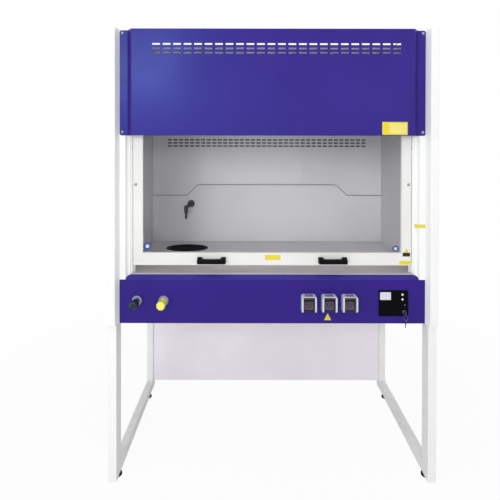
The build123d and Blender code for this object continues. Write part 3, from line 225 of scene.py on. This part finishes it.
def drawn_lines_group():
    """Long fine lines left by rolling or drawing metal; Stretch sets the lines' direction."""
    tree, entry, end = new_group(
        "drawn lines",
        [("Stretch", "NodeSocketVector", (6.0, 300.0, 300.0)), ("Height", "NodeSocketFloat", 1.0)],
        [("Height", "NodeSocketFloat"), ("Mask", "NodeSocketFloat")],
    )
    place = node(tree, "ShaderNodeTexCoord", (-900, -250))
    stretched = node(tree, "ShaderNodeVectorMath", (-650, -100), operation="MULTIPLY")
    lines = node(tree, "ShaderNodeTexNoise", (-400, -100))
    lines.inputs["Scale"].default_value = 1.0
    lines.inputs["Detail"].default_value = 4.0
    scaled = node(tree, "ShaderNodeMath", (-100, 100), operation="MULTIPLY")
    link = tree.links.new
    link(place.outputs["Object"], stretched.inputs[0])
    link(entry.outputs["Stretch"], stretched.inputs[1])
    link(stretched.outputs[0], lines.inputs["Vector"])
    link(lines.outputs["Fac"], scaled.inputs[0])
    link(entry.outputs["Height"], scaled.inputs[1])
    link(scaled.outputs[0], end.inputs["Height"])
    link(lines.outputs["Fac"], end.inputs["Mask"])
    return tree


CLOUDY = cloudy_tone_group()
SPRAYED = sprayed_skin_group()
SPECKS = specks_group()
DUST = settled_dust_group()
DRAWN = drawn_lines_group()


def use_group(tree, group, at, **values):
    made = node(tree, "ShaderNodeGroup", at, node_tree=group)
    for name, value in values.items():
        made.inputs[name.replace("_", " ")].default_value = value
    return made


def bare_material(name, roughness, metallic=0.0, **shader_values):
    """A material with its plain shader; the caller links what changes over the surface."""
    material = bpy.data.materials.new(name)
    material.use_nodes = True
    tree = material.node_tree
    shader = tree.nodes["Principled BSDF"]
    shader.inputs["Roughness"].default_value = roughness
    shader.inputs["Metallic"].default_value = metallic
    for label, value in shader_values.items():
        shader.inputs[label.replace("_", " ")].default_value = value
    return material, tree, shader


def roughness_between(tree, shader, mask, low, high):
    """Roughness that follows a mask between two values."""
    spread = node(tree, "ShaderNodeMapRange", (-350, -250))
    spread.inputs["To Min"].default_value = low
    spread.inputs["To Max"].default_value = high
    tree.links.new(mask, spread.inputs["Value"])
    tree.links.new(spread.outputs["Result"], shader.inputs["Roughness"])


def bump(tree, shader, height, strength, distance):
    made = node(tree, "ShaderNodeBump", (-250, -500))
    made.inputs["Strength"].default_value = strength
    made.inputs["Distance"].default_value = distance
    tree.links.new(height, made.inputs["Height"])
    tree.links.new(made.outputs["Normal"], shader.inputs["Normal"])


def sprayed_metal(name, tone, other_tone, roughness, peel, dust=0.25, wave=0.6, **shader_values):
    """Powder coated or sprayed sheet: drifting tone, orange peel and a little settled dust."""
    material, tree, shader = bare_material(name, roughness, **shader_values)
    cloud = use_group(tree, CLOUDY, (-800, 100), Tone=tone, Other_Tone=other_tone, Size=2.5)
    dusty = use_group(tree, DUST, (-800, -150), Amount=dust)
    dusted = node(tree, "ShaderNodeMix", (-400, 100), data_type="RGBA")
    dusted.inputs["B"].default_value = colour(196, 192, 184)
    skin = use_group(tree, SPRAYED, (-800, -450), Peel_Height=peel, Wave_Height=wave)
    link = tree.links.new
    link(dusty.outputs["Mask"], dusted.inputs["Factor"])
    link(cloud.outputs["Colour"], dusted.inputs["A"])
    link(dusted.outputs["Result"], shader.inputs["Base Color"])
    roughness_between(tree, shader, cloud.outputs["Mask"], roughness, roughness + 0.08)
    bump(tree, shader, skin.outputs["Height"], 0.35, 0.0006)
    return material


def moulded_plastic(name, tone, speck, roughness, grain=0.5, **shader_values):
    """Moulded plastic: faint specks in the colour and a fine grain from the mould."""
    material, tree, shader = bare_material(name, roughness, **shader_values)
    flecks = use_group(tree, SPECKS, (-800, 100), Colour=tone, Speck_Colour=speck, Size=900.0, Share=0.22)
    skin = use_group(tree, SPRAYED, (-800, -450), Peel_Size=1400.0, Peel_Height=grain, Wave_Height=0.0)
    link = tree.links.new
    link(flecks.outputs["Colour"], shader.inputs["Base Color"])
    roughness_between(tree, shader, flecks.outputs["Mask"], roughness, roughness + 0.1)
    bump(tree, shader, skin.outputs["Height"], 0.4, 0.0002)
    return material


def drawn_metal(name, tone, other_tone, roughness, stretch, **shader_values):
    """Bare or plated metal with drawn lines."""
    material, tree, shader = bare_material(name, roughness, 1.0, **shader_values)
    cloud = use_group(tree, CLOUDY, (-800, 100), Tone=tone, Other_Tone=other_tone, Size=9.0)
    lines = use_group(tree, DRAWN, (-800, -300), Stretch=stretch)
    tree.links.new(cloud.outputs["Colour"], shader.inputs["Base Color"])
    roughness_between(tree, shader, lines.outputs["Mask"], roughness, roughness + 0.2)
    bump(tree, shader, lines.outputs["Height"], 0.25, 0.0002)
    return material


def laminate(name, tone, other_tone, roughness, **shader_values):
    """Matt chamber lining with a faint cloudy print and a fine pressed grain."""
    material, tree, shader = bare_material(name, roughness, **shader_values)
    cloud = use_group(tree, CLOUDY, (-1000, 100), Tone=tone, Other_Tone=other_tone, Size=1.6)
    flecks = use_group(tree, SPECKS, (-700, 100), Speck_Colour=other_tone, Size=500.0, Share=0.2)
    skin = use_group(tree, SPRAYED, (-800, -450), Peel_Size=700.0, Peel_Height=0.6, Wave_Height=0.4)
    tree.links.new(cloud.outputs["Colour"], flecks.inputs["Colour"])
    tree.links.new(flecks.outputs["Colour"], shader.inputs["Base Color"])
    roughness_between(tree, shader, cloud.outputs["Mask"], roughness, roughness + 0.1)
    bump(tree, shader, skin.outputs["Height"], 0.3, 0.0003)
    return material


def clear_glass(name, tint, smear, shadow_tone, index):
    """Glass that lets lamp light through to what is behind it, with faint wiping smears."""
    material, tree, shader = bare_material(name, 0.02, Transmission_Weight=1.0, IOR=index)
    shader.inputs["Base Color"].default_value = tint
    cloud = use_group(tree, CLOUDY, (-800, -150), Size=smear)
    roughness_between(tree, shader, cloud.outputs["Mask"], 0.0, 0.05)
    path = node(tree, "ShaderNodeLightPath", (-200, 400))
    open_way = node(tree, "ShaderNodeBsdfTransparent", (0, 250))
    open_way.inputs["Color"].default_value = shadow_tone
    mix = node(tree, "ShaderNodeMixShader", (350, 200))
    end = tree.nodes["Material Output"]
    end.location = (600, 200)
    link = tree.links.new
    link(path.outputs["Is Shadow Ray"], mix.inputs[0])
    link(shader.outputs[0], mix.inputs[1])
    link(open_way.outputs[0], mix.inputs[2])
    link(mix.outputs[0], end.inputs["Surface"])
    return material


white_paint = sprayed_metal("white powder coat", colour(242, 242, 240), colour(237, 237, 234), 0.42, 0.25)
sash_paint = sprayed_metal("sash white coat", colour(230, 228, 224), colour(224, 222, 218), 0.38, 0.2)
rear_paint = sprayed_metal("rear panel coat", colour(244, 238, 243), colour(239, 233, 239), 0.5, 0.25)
blue_paint = sprayed_metal("blue gloss coat", colour(55, 26, 124), colour(51, 23, 118), 0.3, 0.12,
                           dust=0.03, wave=0.25, Specular_IOR_Level=0.5,
                           Specular_Tint=(0.12, 0.45, 1.0, 1.0), Coat_Weight=0.06, Coat_Roughness=0.2)
lining = laminate("chamber lining", colour(206, 204, 206), colour(199, 197, 200), 0.6)
worktop_stone = laminate("worktop ceramic", colour(216, 212, 214), colour(204, 200, 203), 0.4)
black_plastic = moulded_plastic("black moulded plastic", colour(8, 6, 8), colour(16, 14, 16), 0.5,
                                Specular_IOR_Level=0.12)
cup_plastic = moulded_plastic("drip cup plastic", colour(8, 8, 9), colour(14, 14, 15), 0.8, Specular_IOR_Level=0.1)
pad_rubber = moulded_plastic("pad rubber", colour(18, 17, 18), colour(30, 29, 29), 0.75, Specular_IOR_Level=0.2)
panel_plastic = moulded_plastic("control panel plastic", colour(10, 8, 12), colour(18, 15, 20), 0.4,
                                Specular_IOR_Level=0.06)
button_plastic = moulded_plastic("button plastic", colour(232, 230, 228), colour(220, 218, 216), 0.35)
runner_plastic = moulded_plastic("runner plastic", colour(52, 52, 54), colour(66, 66, 68), 0.4)
pulley_plastic = moulded_plastic("pulley plastic", colour(218, 216, 205), colour(204, 202, 190), 0.45)
green_plastic = moulded_plastic("green knob plastic", colour(12, 40, 38), colour(8, 30, 30), 0.3, Coat_Weight=0.2)
yellow_plastic = moulded_plastic("yellow knob plastic", colour(234, 236, 92), colour(222, 224, 80), 0.32, Coat_Weight=0.4)
flange_plastic = moulded_plastic("valve flange plastic", colour(140, 142, 168), colour(128, 130, 158), 0.35)
socket_plastic = moulded_plastic("socket shell plastic", colour(206, 206, 216), colour(194, 194, 206), 0.35)
insert_plastic = moulded_plastic("socket insert plastic", colour(34, 30, 36), colour(26, 22, 28), 0.4,
                                 Specular_IOR_Level=0.25)
plate_plastic = moulded_plastic("socket face plastic", colour(150, 134, 152), colour(138, 122, 140), 0.4)
inset_plastic = moulded_plastic("socket top inset plastic", colour(126, 126, 140), colour(114, 114, 128), 0.45)
# The dark grey of the wall behind the baffles is painted shade of the narrow cavity behind the baffle slots.
rear_wall_painted_shade = laminate("rear wall lining with painted shade", colour(66, 64, 68), colour(58, 56, 60), 0.7)
# This mid grey is painted shadow, for the strip along the lower baffle's top edge.
baffle_shadow_grey = laminate("baffle painted shadow line", colour(112, 111, 118), colour(104, 103, 110), 0.7)
yellow_film = sprayed_metal("yellow sign film", colour(226, 208, 44), colour(214, 196, 36), 0.4, 0.1, dust=0.05)
blue_film = sprayed_metal("blue sign film", colour(40, 66, 150), colour(34, 58, 140), 0.4, 0.1, dust=0.05)
pale_yellow_film = sprayed_metal("pale sign film", colour(232, 220, 120), colour(224, 210, 104), 0.4, 0.1, dust=0.05)
pale_film = sprayed_metal("pale label film", colour(214, 210, 222), colour(204, 200, 214), 0.45, 0.1, dust=0.05)
black_film = sprayed_metal("black label film", colour(30, 26, 30), colour(24, 20, 24), 0.45, 0.1, dust=0.05)
diffuser_plastic = moulded_plastic("lamp diffuser plastic", colour(238, 238, 236), colour(228, 228, 226), 0.3)
lens_plastic = moulded_plastic("lamp lens", colour(92, 84, 100), colour(80, 74, 92), 0.15, Coat_Weight=0.8)
outlet_coat = sprayed_metal("outlet epoxy coat", colour(44, 45, 46), colour(36, 37, 38), 0.35, 0.3, dust=0.2)
zinc = drawn_metal("zinc plate", colour(176, 178, 182), colour(160, 162, 168), 0.3, (40.0, 300.0, 300.0))
cable_wire = drawn_metal("cable wire", colour(150, 152, 156), colour(120, 122, 128), 0.35, (900.0, 900.0, 160.0))
weight_steel = drawn_metal("counterweight steel", colour(86, 88, 92), colour(70, 72, 76), 0.45, (5.0, 200.0, 200.0))
brass = drawn_metal("valve brass", colour(196, 158, 92), colour(176, 138, 76), 0.3, (200.0, 40.0, 200.0))
copper = drawn_metal("copper pipe", colour(186, 116, 82), colour(160, 96, 68), 0.3, (300.0, 300.0, 30.0))
nickel = drawn_metal("key nickel", colour(128, 134, 158), colour(104, 110, 136), 0.3, (300.0, 60.0, 300.0))
pane_glass = clear_glass("sash glass", (0.96, 0.965, 0.965, 1), 5.0, (0.92, 0.93, 0.93, 1), 1.18)
smoked_glass = clear_glass("smoked lid", (0.5, 0.46, 0.5, 1), 30.0, (0.55, 0.52, 0.55, 1), 1.35)

FINISH = {
    white_paint: ("left_side_frame", "right_side_frame", "cross_rails", "left_outer_panel",
                  "right_outer_panel", "left_front_post", "right_front_post", "sash_guides", "lamp_housing",
                  "rear_cover"),
    rear_paint: ("rear_lower_panel",),
    sash_paint: ("sash_frame",),
    blue_paint: ("fascia", "apron"),
    lining: ("side_liners", "roof_panel", "upper_baffle", "lower_baffle", "baffle_spacers"),
    # The inner rear wall takes the painted cavity shade.
    rear_wall_painted_shade: ("inner_rear_wall",),
    worktop_stone: ("worktop",),
    black_plastic: ("sash_handles",),
    cup_plastic: ("drip_cup",),
    pad_rubber: ("floor_pads",),
    panel_plastic: ("control_panel",),
    button_plastic: ("upper_button", "lower_button"),
    runner_plastic: ("sash_runners",),
    pulley_plastic: ("left_front_pulley", "right_front_pulley", "left_rear_pulley", "right_rear_pulley"),
    green_plastic: ("water_knob",),
    yellow_plastic: ("gas_knob",),
    flange_plastic: ("valve_flanges",),
    socket_plastic: ("socket_housings",),
    insert_plastic: ("socket_inserts",),
    diffuser_plastic: ("lamp_diffuser",),
    lens_plastic: ("indicator_lamp",),
    outlet_coat: ("water_outlet",),
    zinc: ("fascia_screws", "sash_screws", "exhaust_collar", "pulley_brackets", "pulley_axles"),
    cable_wire: ("top_cables", "front_cables", "rear_cables"),
    weight_steel: ("counterweight",),
    brass: ("valve_bodies",),
    copper: ("water_pipe",),
    nickel: ("key_lock", "lock_barrel", "lock_key", "key_ring", "spare_key"),
    pane_glass: ("sash_glass",),
    smoked_glass: ("left_socket_lid", "middle_socket_lid", "right_socket_lid"),
}


def finish_nodes():
    for material, names in FINISH.items():
        for name in names:
            mesh = nodes[name].data
            mesh.materials.clear()
            mesh.materials.append(material)
    finished = {name for names in FINISH.values() for name in names}
    assert finished == set(nodes), finished ^ set(nodes)


# New pieces

def begin(name, adder, **values):
    """Adds a primitive with nothing else selected and names it."""
    if bpy.context.mode != "OBJECT":
        bpy.ops.object.mode_set(mode="OBJECT")
    bpy.ops.object.select_all(action="DESELECT")
    adder(**values)
    piece = bpy.context.active_object
    piece.name = name
    piece.data.name = name
    return piece


def settle(piece, material, body="cabinet", smooth=True):
    """Puts a piece's place in its mesh, gives it its finish and lets it ride on a body."""
    bpy.ops.object.mode_set(mode="OBJECT")
    bpy.ops.object.select_all(action="DESELECT")
    piece.select_set(True)
    bpy.context.view_layer.objects.active = piece
    bpy.ops.object.transform_apply(location=True, rotation=True, scale=True)
    if smooth:
        bpy.ops.object.shade_smooth_by_angle(angle=radians(30))
    piece.data.materials.clear()
    piece.data.materials.append(material)
    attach(piece, body)
    return piece


def sticker(name, corners, depth, thickness, material, body="cabinet", round_by=1.5 * MM):
    """A thin printed-film field with rounded corners; corners are its x and z limits in metres."""
    x_low, x_high, z_low, z_high = corners
    piece = begin(name, bpy.ops.mesh.primitive_plane_add, size=1.0)
    piece.scale = (x_high - x_low, z_high - z_low, 1.0)
    piece.rotation_euler = (pi / 2, 0, 0)
    piece.location = ((x_low + x_high) / 2, depth, (z_low + z_high) / 2)
    bpy.ops.object.transform_apply(location=True, rotation=True, scale=True)
    bpy.ops.object.mode_set(mode="EDIT")
    bpy.ops.mesh.select_all(action="SELECT")
    bpy.ops.mesh.bevel(offset=round_by, segments=3, affect="VERTICES")
    bpy.ops.mesh.select_all(action="SELECT")
    bpy.ops.mesh.extrude_region_move(TRANSFORM_OT_translate={"value": (0, -thickness, 0)})
    bpy.ops.mesh.select_all(action="SELECT")
    bpy.ops.mesh.normals_make_consistent(inside=False)
    return settle(piece, material, body, smooth=False)


# Depths of the faces that carry signs and small parts, read from the frame's own pieces

SASH_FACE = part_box("sash_frame")[0][1]
GLASS_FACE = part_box("sash_glass")[0][1]
POST_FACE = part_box("right_front_post")[0][1]
FASCIA_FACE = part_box("fascia")[0][1]
APRON_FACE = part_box("apron")[0][1]
PANEL_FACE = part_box("control_panel")[0][1]
FILM = 0.3 * MM


def disc(name, x, z, depth, radius, thickness, material, body):
    """A round field of printed film."""
    piece = begin(name, bpy.ops.mesh.primitive_cylinder_add, vertices=32, radius=radius, depth=thickness)
    piece.rotation_euler = (pi / 2, 0, 0)
    piece.location = (x, depth - thickness / 2, z)
    return settle(piece, material, body)


def triangle(name, x, z, depth, width, height, material, body):
    """A triangular field of printed film with its point up."""
    piece = begin(name, bpy.ops.mesh.primitive_plane_add, size=1.0)
    piece.scale = (width, height, 1.0)
    piece.rotation_euler = (pi / 2, 0, 0)
    piece.location = (x, depth, z)
    bpy.ops.object.transform_apply(location=True, rotation=True, scale=True)
    bpy.ops.object.mode_set(mode="EDIT")
    bpy.ops.mesh.select_all(action="DESELECT")
    mesh = bmesh.from_edit_mesh(piece.data)
    for vertex in mesh.verts:
        vertex.select = vertex.co.z > z
    mesh.select_flush(True)
    bmesh.update_edit_mesh(piece.data)
    bpy.ops.mesh.merge(type="CENTER")
    bpy.ops.mesh.select_all(action="SELECT")
    bpy.ops.mesh.bevel(offset=min(width, height) * 0.08, segments=3, affect="VERTICES")
    bpy.ops.mesh.select_all(action="SELECT")
    bpy.ops.mesh.extrude_region_move(TRANSFORM_OT_translate={"value": (0, -FILM, 0)})
    bpy.ops.mesh.select_all(action="SELECT")
    bpy.ops.mesh.normals_make_consistent(inside=False)
    return settle(piece, material, body, smooth=False)


def signs():
    """Bare labels and signs, without their words and marks."""
    for side, x, z, radius in (("left", -620, 1146, 19), ("right", 615, 1135, 16)):
        disc(f"{side}_glass_sign", x * MM, z * MM, GLASS_FACE, radius * MM, FILM, blue_film, "sash")
        disc(f"{side}_glass_sign_centre", x * MM, z * MM, GLASS_FACE - FILM, radius * 0.5 * MM, FILM,
             pale_film, "sash")
    sash = (
        ("sash_yellow_label", (-35, 42, 1080, 1105), yellow_film, "yellow_plastic"),
        ("sash_black_label", (648, 685, 1098, 1117), black_film, "panel_black"),
        ("sash_corner_label", (632, 688, 1058, 1076), yellow_film, "yellow_plastic"),
    )
    for name, limits, film, slot in sash:
        corners = [limit * MM for limit in limits]
        sticker(name, corners, SASH_FACE, FILM, film, "sash")
    triangle("sash_warning_sign", 667 * MM, 1129 * MM, SASH_FACE, 24 * MM, 22 * MM,
             yellow_film, "sash")
    sticker("fascia_label", [525 * MM, 647 * MM, 1701 * MM, 1763 * MM], FASCIA_FACE, FILM,
            yellow_film)
    sticker("fascia_label_field", [560 * MM, 641 * MM, 1707 * MM, 1757 * MM], FASCIA_FACE - FILM,
            FILM, pale_yellow_film)
    triangle("socket_warning_sign", 272 * MM, 809 * MM, APRON_FACE, 35 * MM, 34 * MM,
             yellow_film, "cabinet")
    sticker("panel_label", [528 * MM, 581 * MM, 893 * MM, 931 * MM], PANEL_FACE, FILM,
            pale_film, round_by=3 * MM)
    post_label()


def post_label():
    """Yellow strip that wraps round the right post's nose."""
    piece = begin("post_label", bpy.ops.mesh.primitive_grid_add, x_subdivisions=17, y_subdivisions=1, size=1.0)
    x_low, x_high = 702.5 * MM, 751 * MM
    piece.scale = (x_high - x_low, 17 * MM, 1.0)
    piece.rotation_euler = (pi / 2, 0, 0)
    piece.location = ((x_low + x_high) / 2, POST_FACE, 1253.5 * MM)
    bpy.ops.object.transform_apply(location=True, rotation=True, scale=True)
    radius = POST_NOSE
    for vertex in piece.data.vertices:
        past = POST_FLAT_EDGE - vertex.co.x
        if past > 0:
            vertex.co.y += radius - (radius ** 2 - min(past, radius) ** 2) ** 0.5
    bpy.ops.object.modifier_add(type="SOLIDIFY")
    wall = piece.modifiers[-1]
    wall.thickness = FILM
    wall.offset = 1.0
    bpy.ops.object.modifier_apply(modifier=wall.name)
    settle(piece, yellow_film)


POST_FLAT_EDGE = 720 * MM
POST_NOSE = 19 * MM
SOCKETS_X = (176.4 * MM, 275.6 * MM, 374.8 * MM)
SOCKET_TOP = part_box("socket_housings")[1][2]
SOCKET_PLATE_Z = 872 * MM
PLATE_HALF = 23 * MM


def socket_details():
    """Grey inset in each socket's roof and the pale face plate behind its lid."""
    plate_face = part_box("socket_inserts")[0][1]
    housing_front, housing_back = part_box("socket_housings")[0][1], APRON_FACE
    for name, x in zip(("left", "middle", "right"), SOCKETS_X):
        inset = begin(f"{name}_socket_inset", bpy.ops.mesh.primitive_plane_add, size=1.0)
        inset.scale = (40 * MM, housing_back - housing_front - 12 * MM, 1.0)
        inset.location = (x, (housing_front + housing_back) / 2 - 1 * MM, SOCKET_TOP)
        bpy.ops.object.transform_apply(location=True, rotation=True, scale=True)
        bpy.ops.object.mode_set(mode="EDIT")
        bpy.ops.mesh.select_all(action="SELECT")
        bpy.ops.mesh.bevel(offset=3 * MM, segments=3, affect="VERTICES")
        bpy.ops.mesh.select_all(action="SELECT")
        bpy.ops.mesh.extrude_region_move(TRANSFORM_OT_translate={"value": (0, 0, 0.4 * MM)})
        bpy.ops.mesh.select_all(action="SELECT")
        bpy.ops.mesh.normals_make_consistent(inside=False)
        settle(inset, inset_plastic, smooth=False)
        plate = begin(f"{name}_socket_plate", bpy.ops.mesh.primitive_grid_add, x_subdivisions=24,
                      y_subdivisions=22, size=1.0)
        plate.scale = (2 * PLATE_HALF - 2 * MM, 2 * PLATE_HALF - 6 * MM, 1.0)
        plate.rotation_euler = (pi / 2, 0, 0)
        plate.location = (x, plate_face, SOCKET_PLATE_Z)
        bpy.ops.object.transform_apply(location=True, rotation=True, scale=True)
        bpy.ops.object.mode_set(mode="EDIT")
        bpy.ops.mesh.select_all(action="DESELECT")
        mesh = bmesh.from_edit_mesh(plate.data)
        for face in mesh.faces:
            middle = face.calc_center_median()
            face.select = any(
                (middle.x - x - dx) ** 2 + (middle.z - SOCKET_PLATE_Z - dz) ** 2 < HOLE ** 2
                for dx, dz in PLUG_HOLES
            )
        bmesh.update_edit_mesh(plate.data)
        bpy.ops.mesh.delete(type="FACE")
        bpy.ops.mesh.select_all(action="SELECT")
        bpy.ops.mesh.extrude_region_move(TRANSFORM_OT_translate={"value": (0, -0.8 * MM, 0)})
        bpy.ops.mesh.select_all(action="SELECT")
        bpy.ops.mesh.normals_make_consistent(inside=False)
        settle(plate, plate_plastic, smooth=False)


PLUG_HOLES = ((-9.5 * MM, 8 * MM), (9.5 * MM, 8 * MM), (0, -8 * MM))
HOLE = 3.2 * MM


def baffle_shadow_line():
    """Dark strip along the stepped upper edge of the lower baffle: painted shadow of the gap between the lower and
    upper baffles.
    """
    source = nodes["lower_baffle"]
    bpy.ops.object.mode_set(mode="OBJECT")
    bpy.ops.object.select_all(action="DESELECT")
    piece = bpy.data.objects.new("lower_baffle_shadow_line", source.data.copy())
    piece.data.name = piece.name
    bpy.context.scene.collection.objects.link(piece)
    piece.select_set(True)
    bpy.context.view_layer.objects.active = piece
    bpy.ops.object.mode_set(mode="EDIT")
    bpy.ops.mesh.select_all(action="SELECT")
    bpy.ops.mesh.remove_doubles(threshold=0.00001)
    bpy.ops.mesh.select_all(action="DESELECT")
    mesh = bmesh.from_edit_mesh(piece.data)
    for face in mesh.faces:
        face.select = face.normal.z < 0.3
    bmesh.update_edit_mesh(piece.data)
    bpy.ops.mesh.delete(type="FACE")
    bpy.ops.object.mode_set(mode="OBJECT")
    bpy.ops.object.modifier_add(type="SOLIDIFY")
    wall = piece.modifiers[-1]
    wall.thickness = SHADOW_LINE_RISE
    wall.offset = 1.0
    wall.use_even_offset = True
    bpy.ops.object.modifier_apply(modifier=wall.name)
    settle(piece, baffle_shadow_grey, smooth=False)


# Height of the painted shadow strip.
SHADOW_LINE_RISE = 4 * MM


def cables():
    """The cables' upright runs, as round strands cut across at even heights; the real runs shorten and lengthen as
    sash and counterweight slide.
    """
    for run, body in (("front", "sash"), ("rear", "counterweight")):
        low, high = (Vector(corner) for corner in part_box(f"{run}_cables"))
        middle = (low + high) / 2
        radius = (high.y - low.y) / 2
        strands = []
        for side in (-1, 1):
            strand = begin(f"{run}_cable_runs", bpy.ops.mesh.primitive_cylinder_add, vertices=12,
                           radius=radius, depth=high.z - low.z)
            strand.location = (side * (high.x - radius), middle.y, middle.z)
            bpy.ops.object.transform_apply(location=True, rotation=True, scale=True)
            bpy.ops.object.mode_set(mode="EDIT")
            for cut in range(1, CABLE_CUTS):
                bpy.ops.mesh.select_all(action="SELECT")
                height = low.z + (high.z - low.z) * cut / CABLE_CUTS
                bpy.ops.mesh.bisect(plane_co=(0, 0, height), plane_no=(0, 0, 1))
            bpy.ops.object.mode_set(mode="OBJECT")
            strands.append(strand)
        for strand in strands:
            strand.select_set(True)
        bpy.ops.object.join()
        piece = bpy.context.active_object
        piece.name = piece.data.name = f"{run}_cable_runs"
        bpy.ops.object.shade_smooth_by_angle(angle=radians(30))
        piece.data.materials.clear()
        piece.data.materials.append(cable_wire)
        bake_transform(piece)
        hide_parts(f"{run}_cables")


CABLE_CUTS = 24


# Stage and light

FLOOR_NEAR_SHARE = 0.93
FLOOR_MIRRORED = 0.5
ROOM_STRENGTH = 0.6
ROOM_MIRRORED = 1.0


def stage():
    floor = begin("floor", bpy.ops.mesh.primitive_plane_add, size=40.0)
    material, tree, shader = bare_material("pale floor", 0.9)
    shader.inputs["Base Color"].default_value = (0.93, 0.93, 0.93, 1)
    glow = node(tree, "ShaderNodeEmission", (0, 300))
    place = node(tree, "ShaderNodeTexCoord", (-800, 300))
    far = node(tree, "ShaderNodeVectorMath", (-600, 300), operation="LENGTH")
    fade = node(tree, "ShaderNodeMapRange", (-400, 300), interpolation_type="SMOOTHSTEP")
    fade.inputs["From Min"].default_value = 1.0
    fade.inputs["From Max"].default_value = 3.2
    fade.inputs["To Min"].default_value = FLOOR_NEAR_SHARE
    path = node(tree, "ShaderNodeLightPath", (-800, 600))
    mirrored = node(tree, "ShaderNodeMath", (-600, 600), operation="MAXIMUM")
    seen = node(tree, "ShaderNodeMath", (-400, 600), operation="MAXIMUM")
    share = node(tree, "ShaderNodeMath", (0, 500), operation="MULTIPLY")
    dimmed = node(tree, "ShaderNodeMath", (-200, 150), operation="MULTIPLY_ADD")
    dimmed.inputs[1].default_value = FLOOR_MIRRORED - 1.0
    dimmed.inputs[2].default_value = 1.0
    mix = node(tree, "ShaderNodeMixShader", (300, 300))
    link = tree.links.new
    link(path.outputs["Is Glossy Ray"], mirrored.inputs[0])
    link(path.outputs["Is Glossy Ray"], dimmed.inputs[0])
    link(dimmed.outputs[0], glow.inputs["Strength"])
    link(path.outputs["Is Transmission Ray"], mirrored.inputs[1])
    link(path.outputs["Is Camera Ray"], seen.inputs[0])
    link(mirrored.outputs[0], seen.inputs[1])
    link(place.outputs["Object"], far.inputs[0])
    link(far.outputs["Value"], fade.inputs["Value"])
    link(fade.outputs["Result"], share.inputs[0])
    link(seen.outputs[0], share.inputs[1])
    link(share.outputs[0], mix.inputs[0])
    link(shader.outputs[0], mix.inputs[1])
    link(glow.outputs[0], mix.inputs[2])
    link(mix.outputs[0], tree.nodes["Material Output"].inputs["Surface"])
    floor.data.materials.append(material)

    world = bpy.data.worlds.new("room")
    bpy.context.scene.world = world
    world.use_nodes = True
    tree = world.node_tree
    room = tree.nodes["Background"]
    room.inputs["Color"].default_value = (0.96, 0.975, 1.0, 1)
    white = node(tree, "ShaderNodeBackground", (0, 200))
    white.inputs["Color"].default_value = (1, 1, 1, 1)
    path = node(tree, "ShaderNodeLightPath", (-600, 300))
    clear = node(tree, "ShaderNodeMath", (-300, 300), operation="MAXIMUM")
    mix = node(tree, "ShaderNodeMixShader", (300, 100))
    link = tree.links.new
    glare = node(tree, "ShaderNodeMath", (-300, 0), operation="MULTIPLY_ADD")
    glare.inputs[1].default_value = ROOM_MIRRORED - ROOM_STRENGTH
    glare.inputs[2].default_value = ROOM_STRENGTH
    link(path.outputs["Is Glossy Ray"], glare.inputs[0])
    link(glare.outputs[0], room.inputs["Strength"])
    link(path.outputs["Is Camera Ray"], clear.inputs[0])
    link(path.outputs["Is Transmission Ray"], clear.inputs[1])
    link(clear.outputs[0], mix.inputs[0])
    link(room.outputs[0], mix.inputs[1])
    link(white.outputs[0], mix.inputs[2])
    link(mix.outputs[0], tree.nodes["World Output"].inputs["Surface"])

    view = bpy.context.scene.view_settings
    view.view_transform = "Standard"


def lamp(name, place, target, size, power, tone=(1, 1, 1)):
    data = bpy.data.lights.new(name, "AREA")
    data.shape = "RECTANGLE"
    data.size, data.size_y = size
    data.energy = power
    data.color = tone
    made = bpy.data.objects.new(name, data)
    made.location = place
    made.rotation_euler = (Vector(target) - Vector(place)).to_track_quat("-Z", "Y").to_euler()
    bpy.context.scene.collection.objects.link(made)
    return made


place_camera()
stage()
lamp("room_right", (1.9, -4.6, 2.3), (-0.3, 0, 1.3), (2.4, 2.4), 8, (1.0, 0.98, 0.97))
lamp("head_sheen", (-1.9, -5.0, 2.85), (-0.4, -0.4, 2.0), (1.3, 0.9), 44, (0.95, 0.98, 1.0))
lamp("front_fill", (-0.1, -3.4, 1.75), (0, 0, 1.3), (1.2, 1.2), 19).visible_glossy = False
lamp("low_fill", (-2.2, -4.6, 0.9), (0.5, 0, 0.4), (1.6, 1.2), 16, (0.99, 0.99, 1.0))
lamp("ceiling", (0, -1.2, 3.7), (0, -0.6, 1.0), (3.0, 1.8), 14)
lamp("left_side", (-3.4, -2.4, 2.0), (-0.3, -0.3, 1.6), (1.2, 2.0), 11, (0.93, 0.97, 1.0))
finish_nodes()
socket_details()
signs()
baffle_shadow_line()
cables()
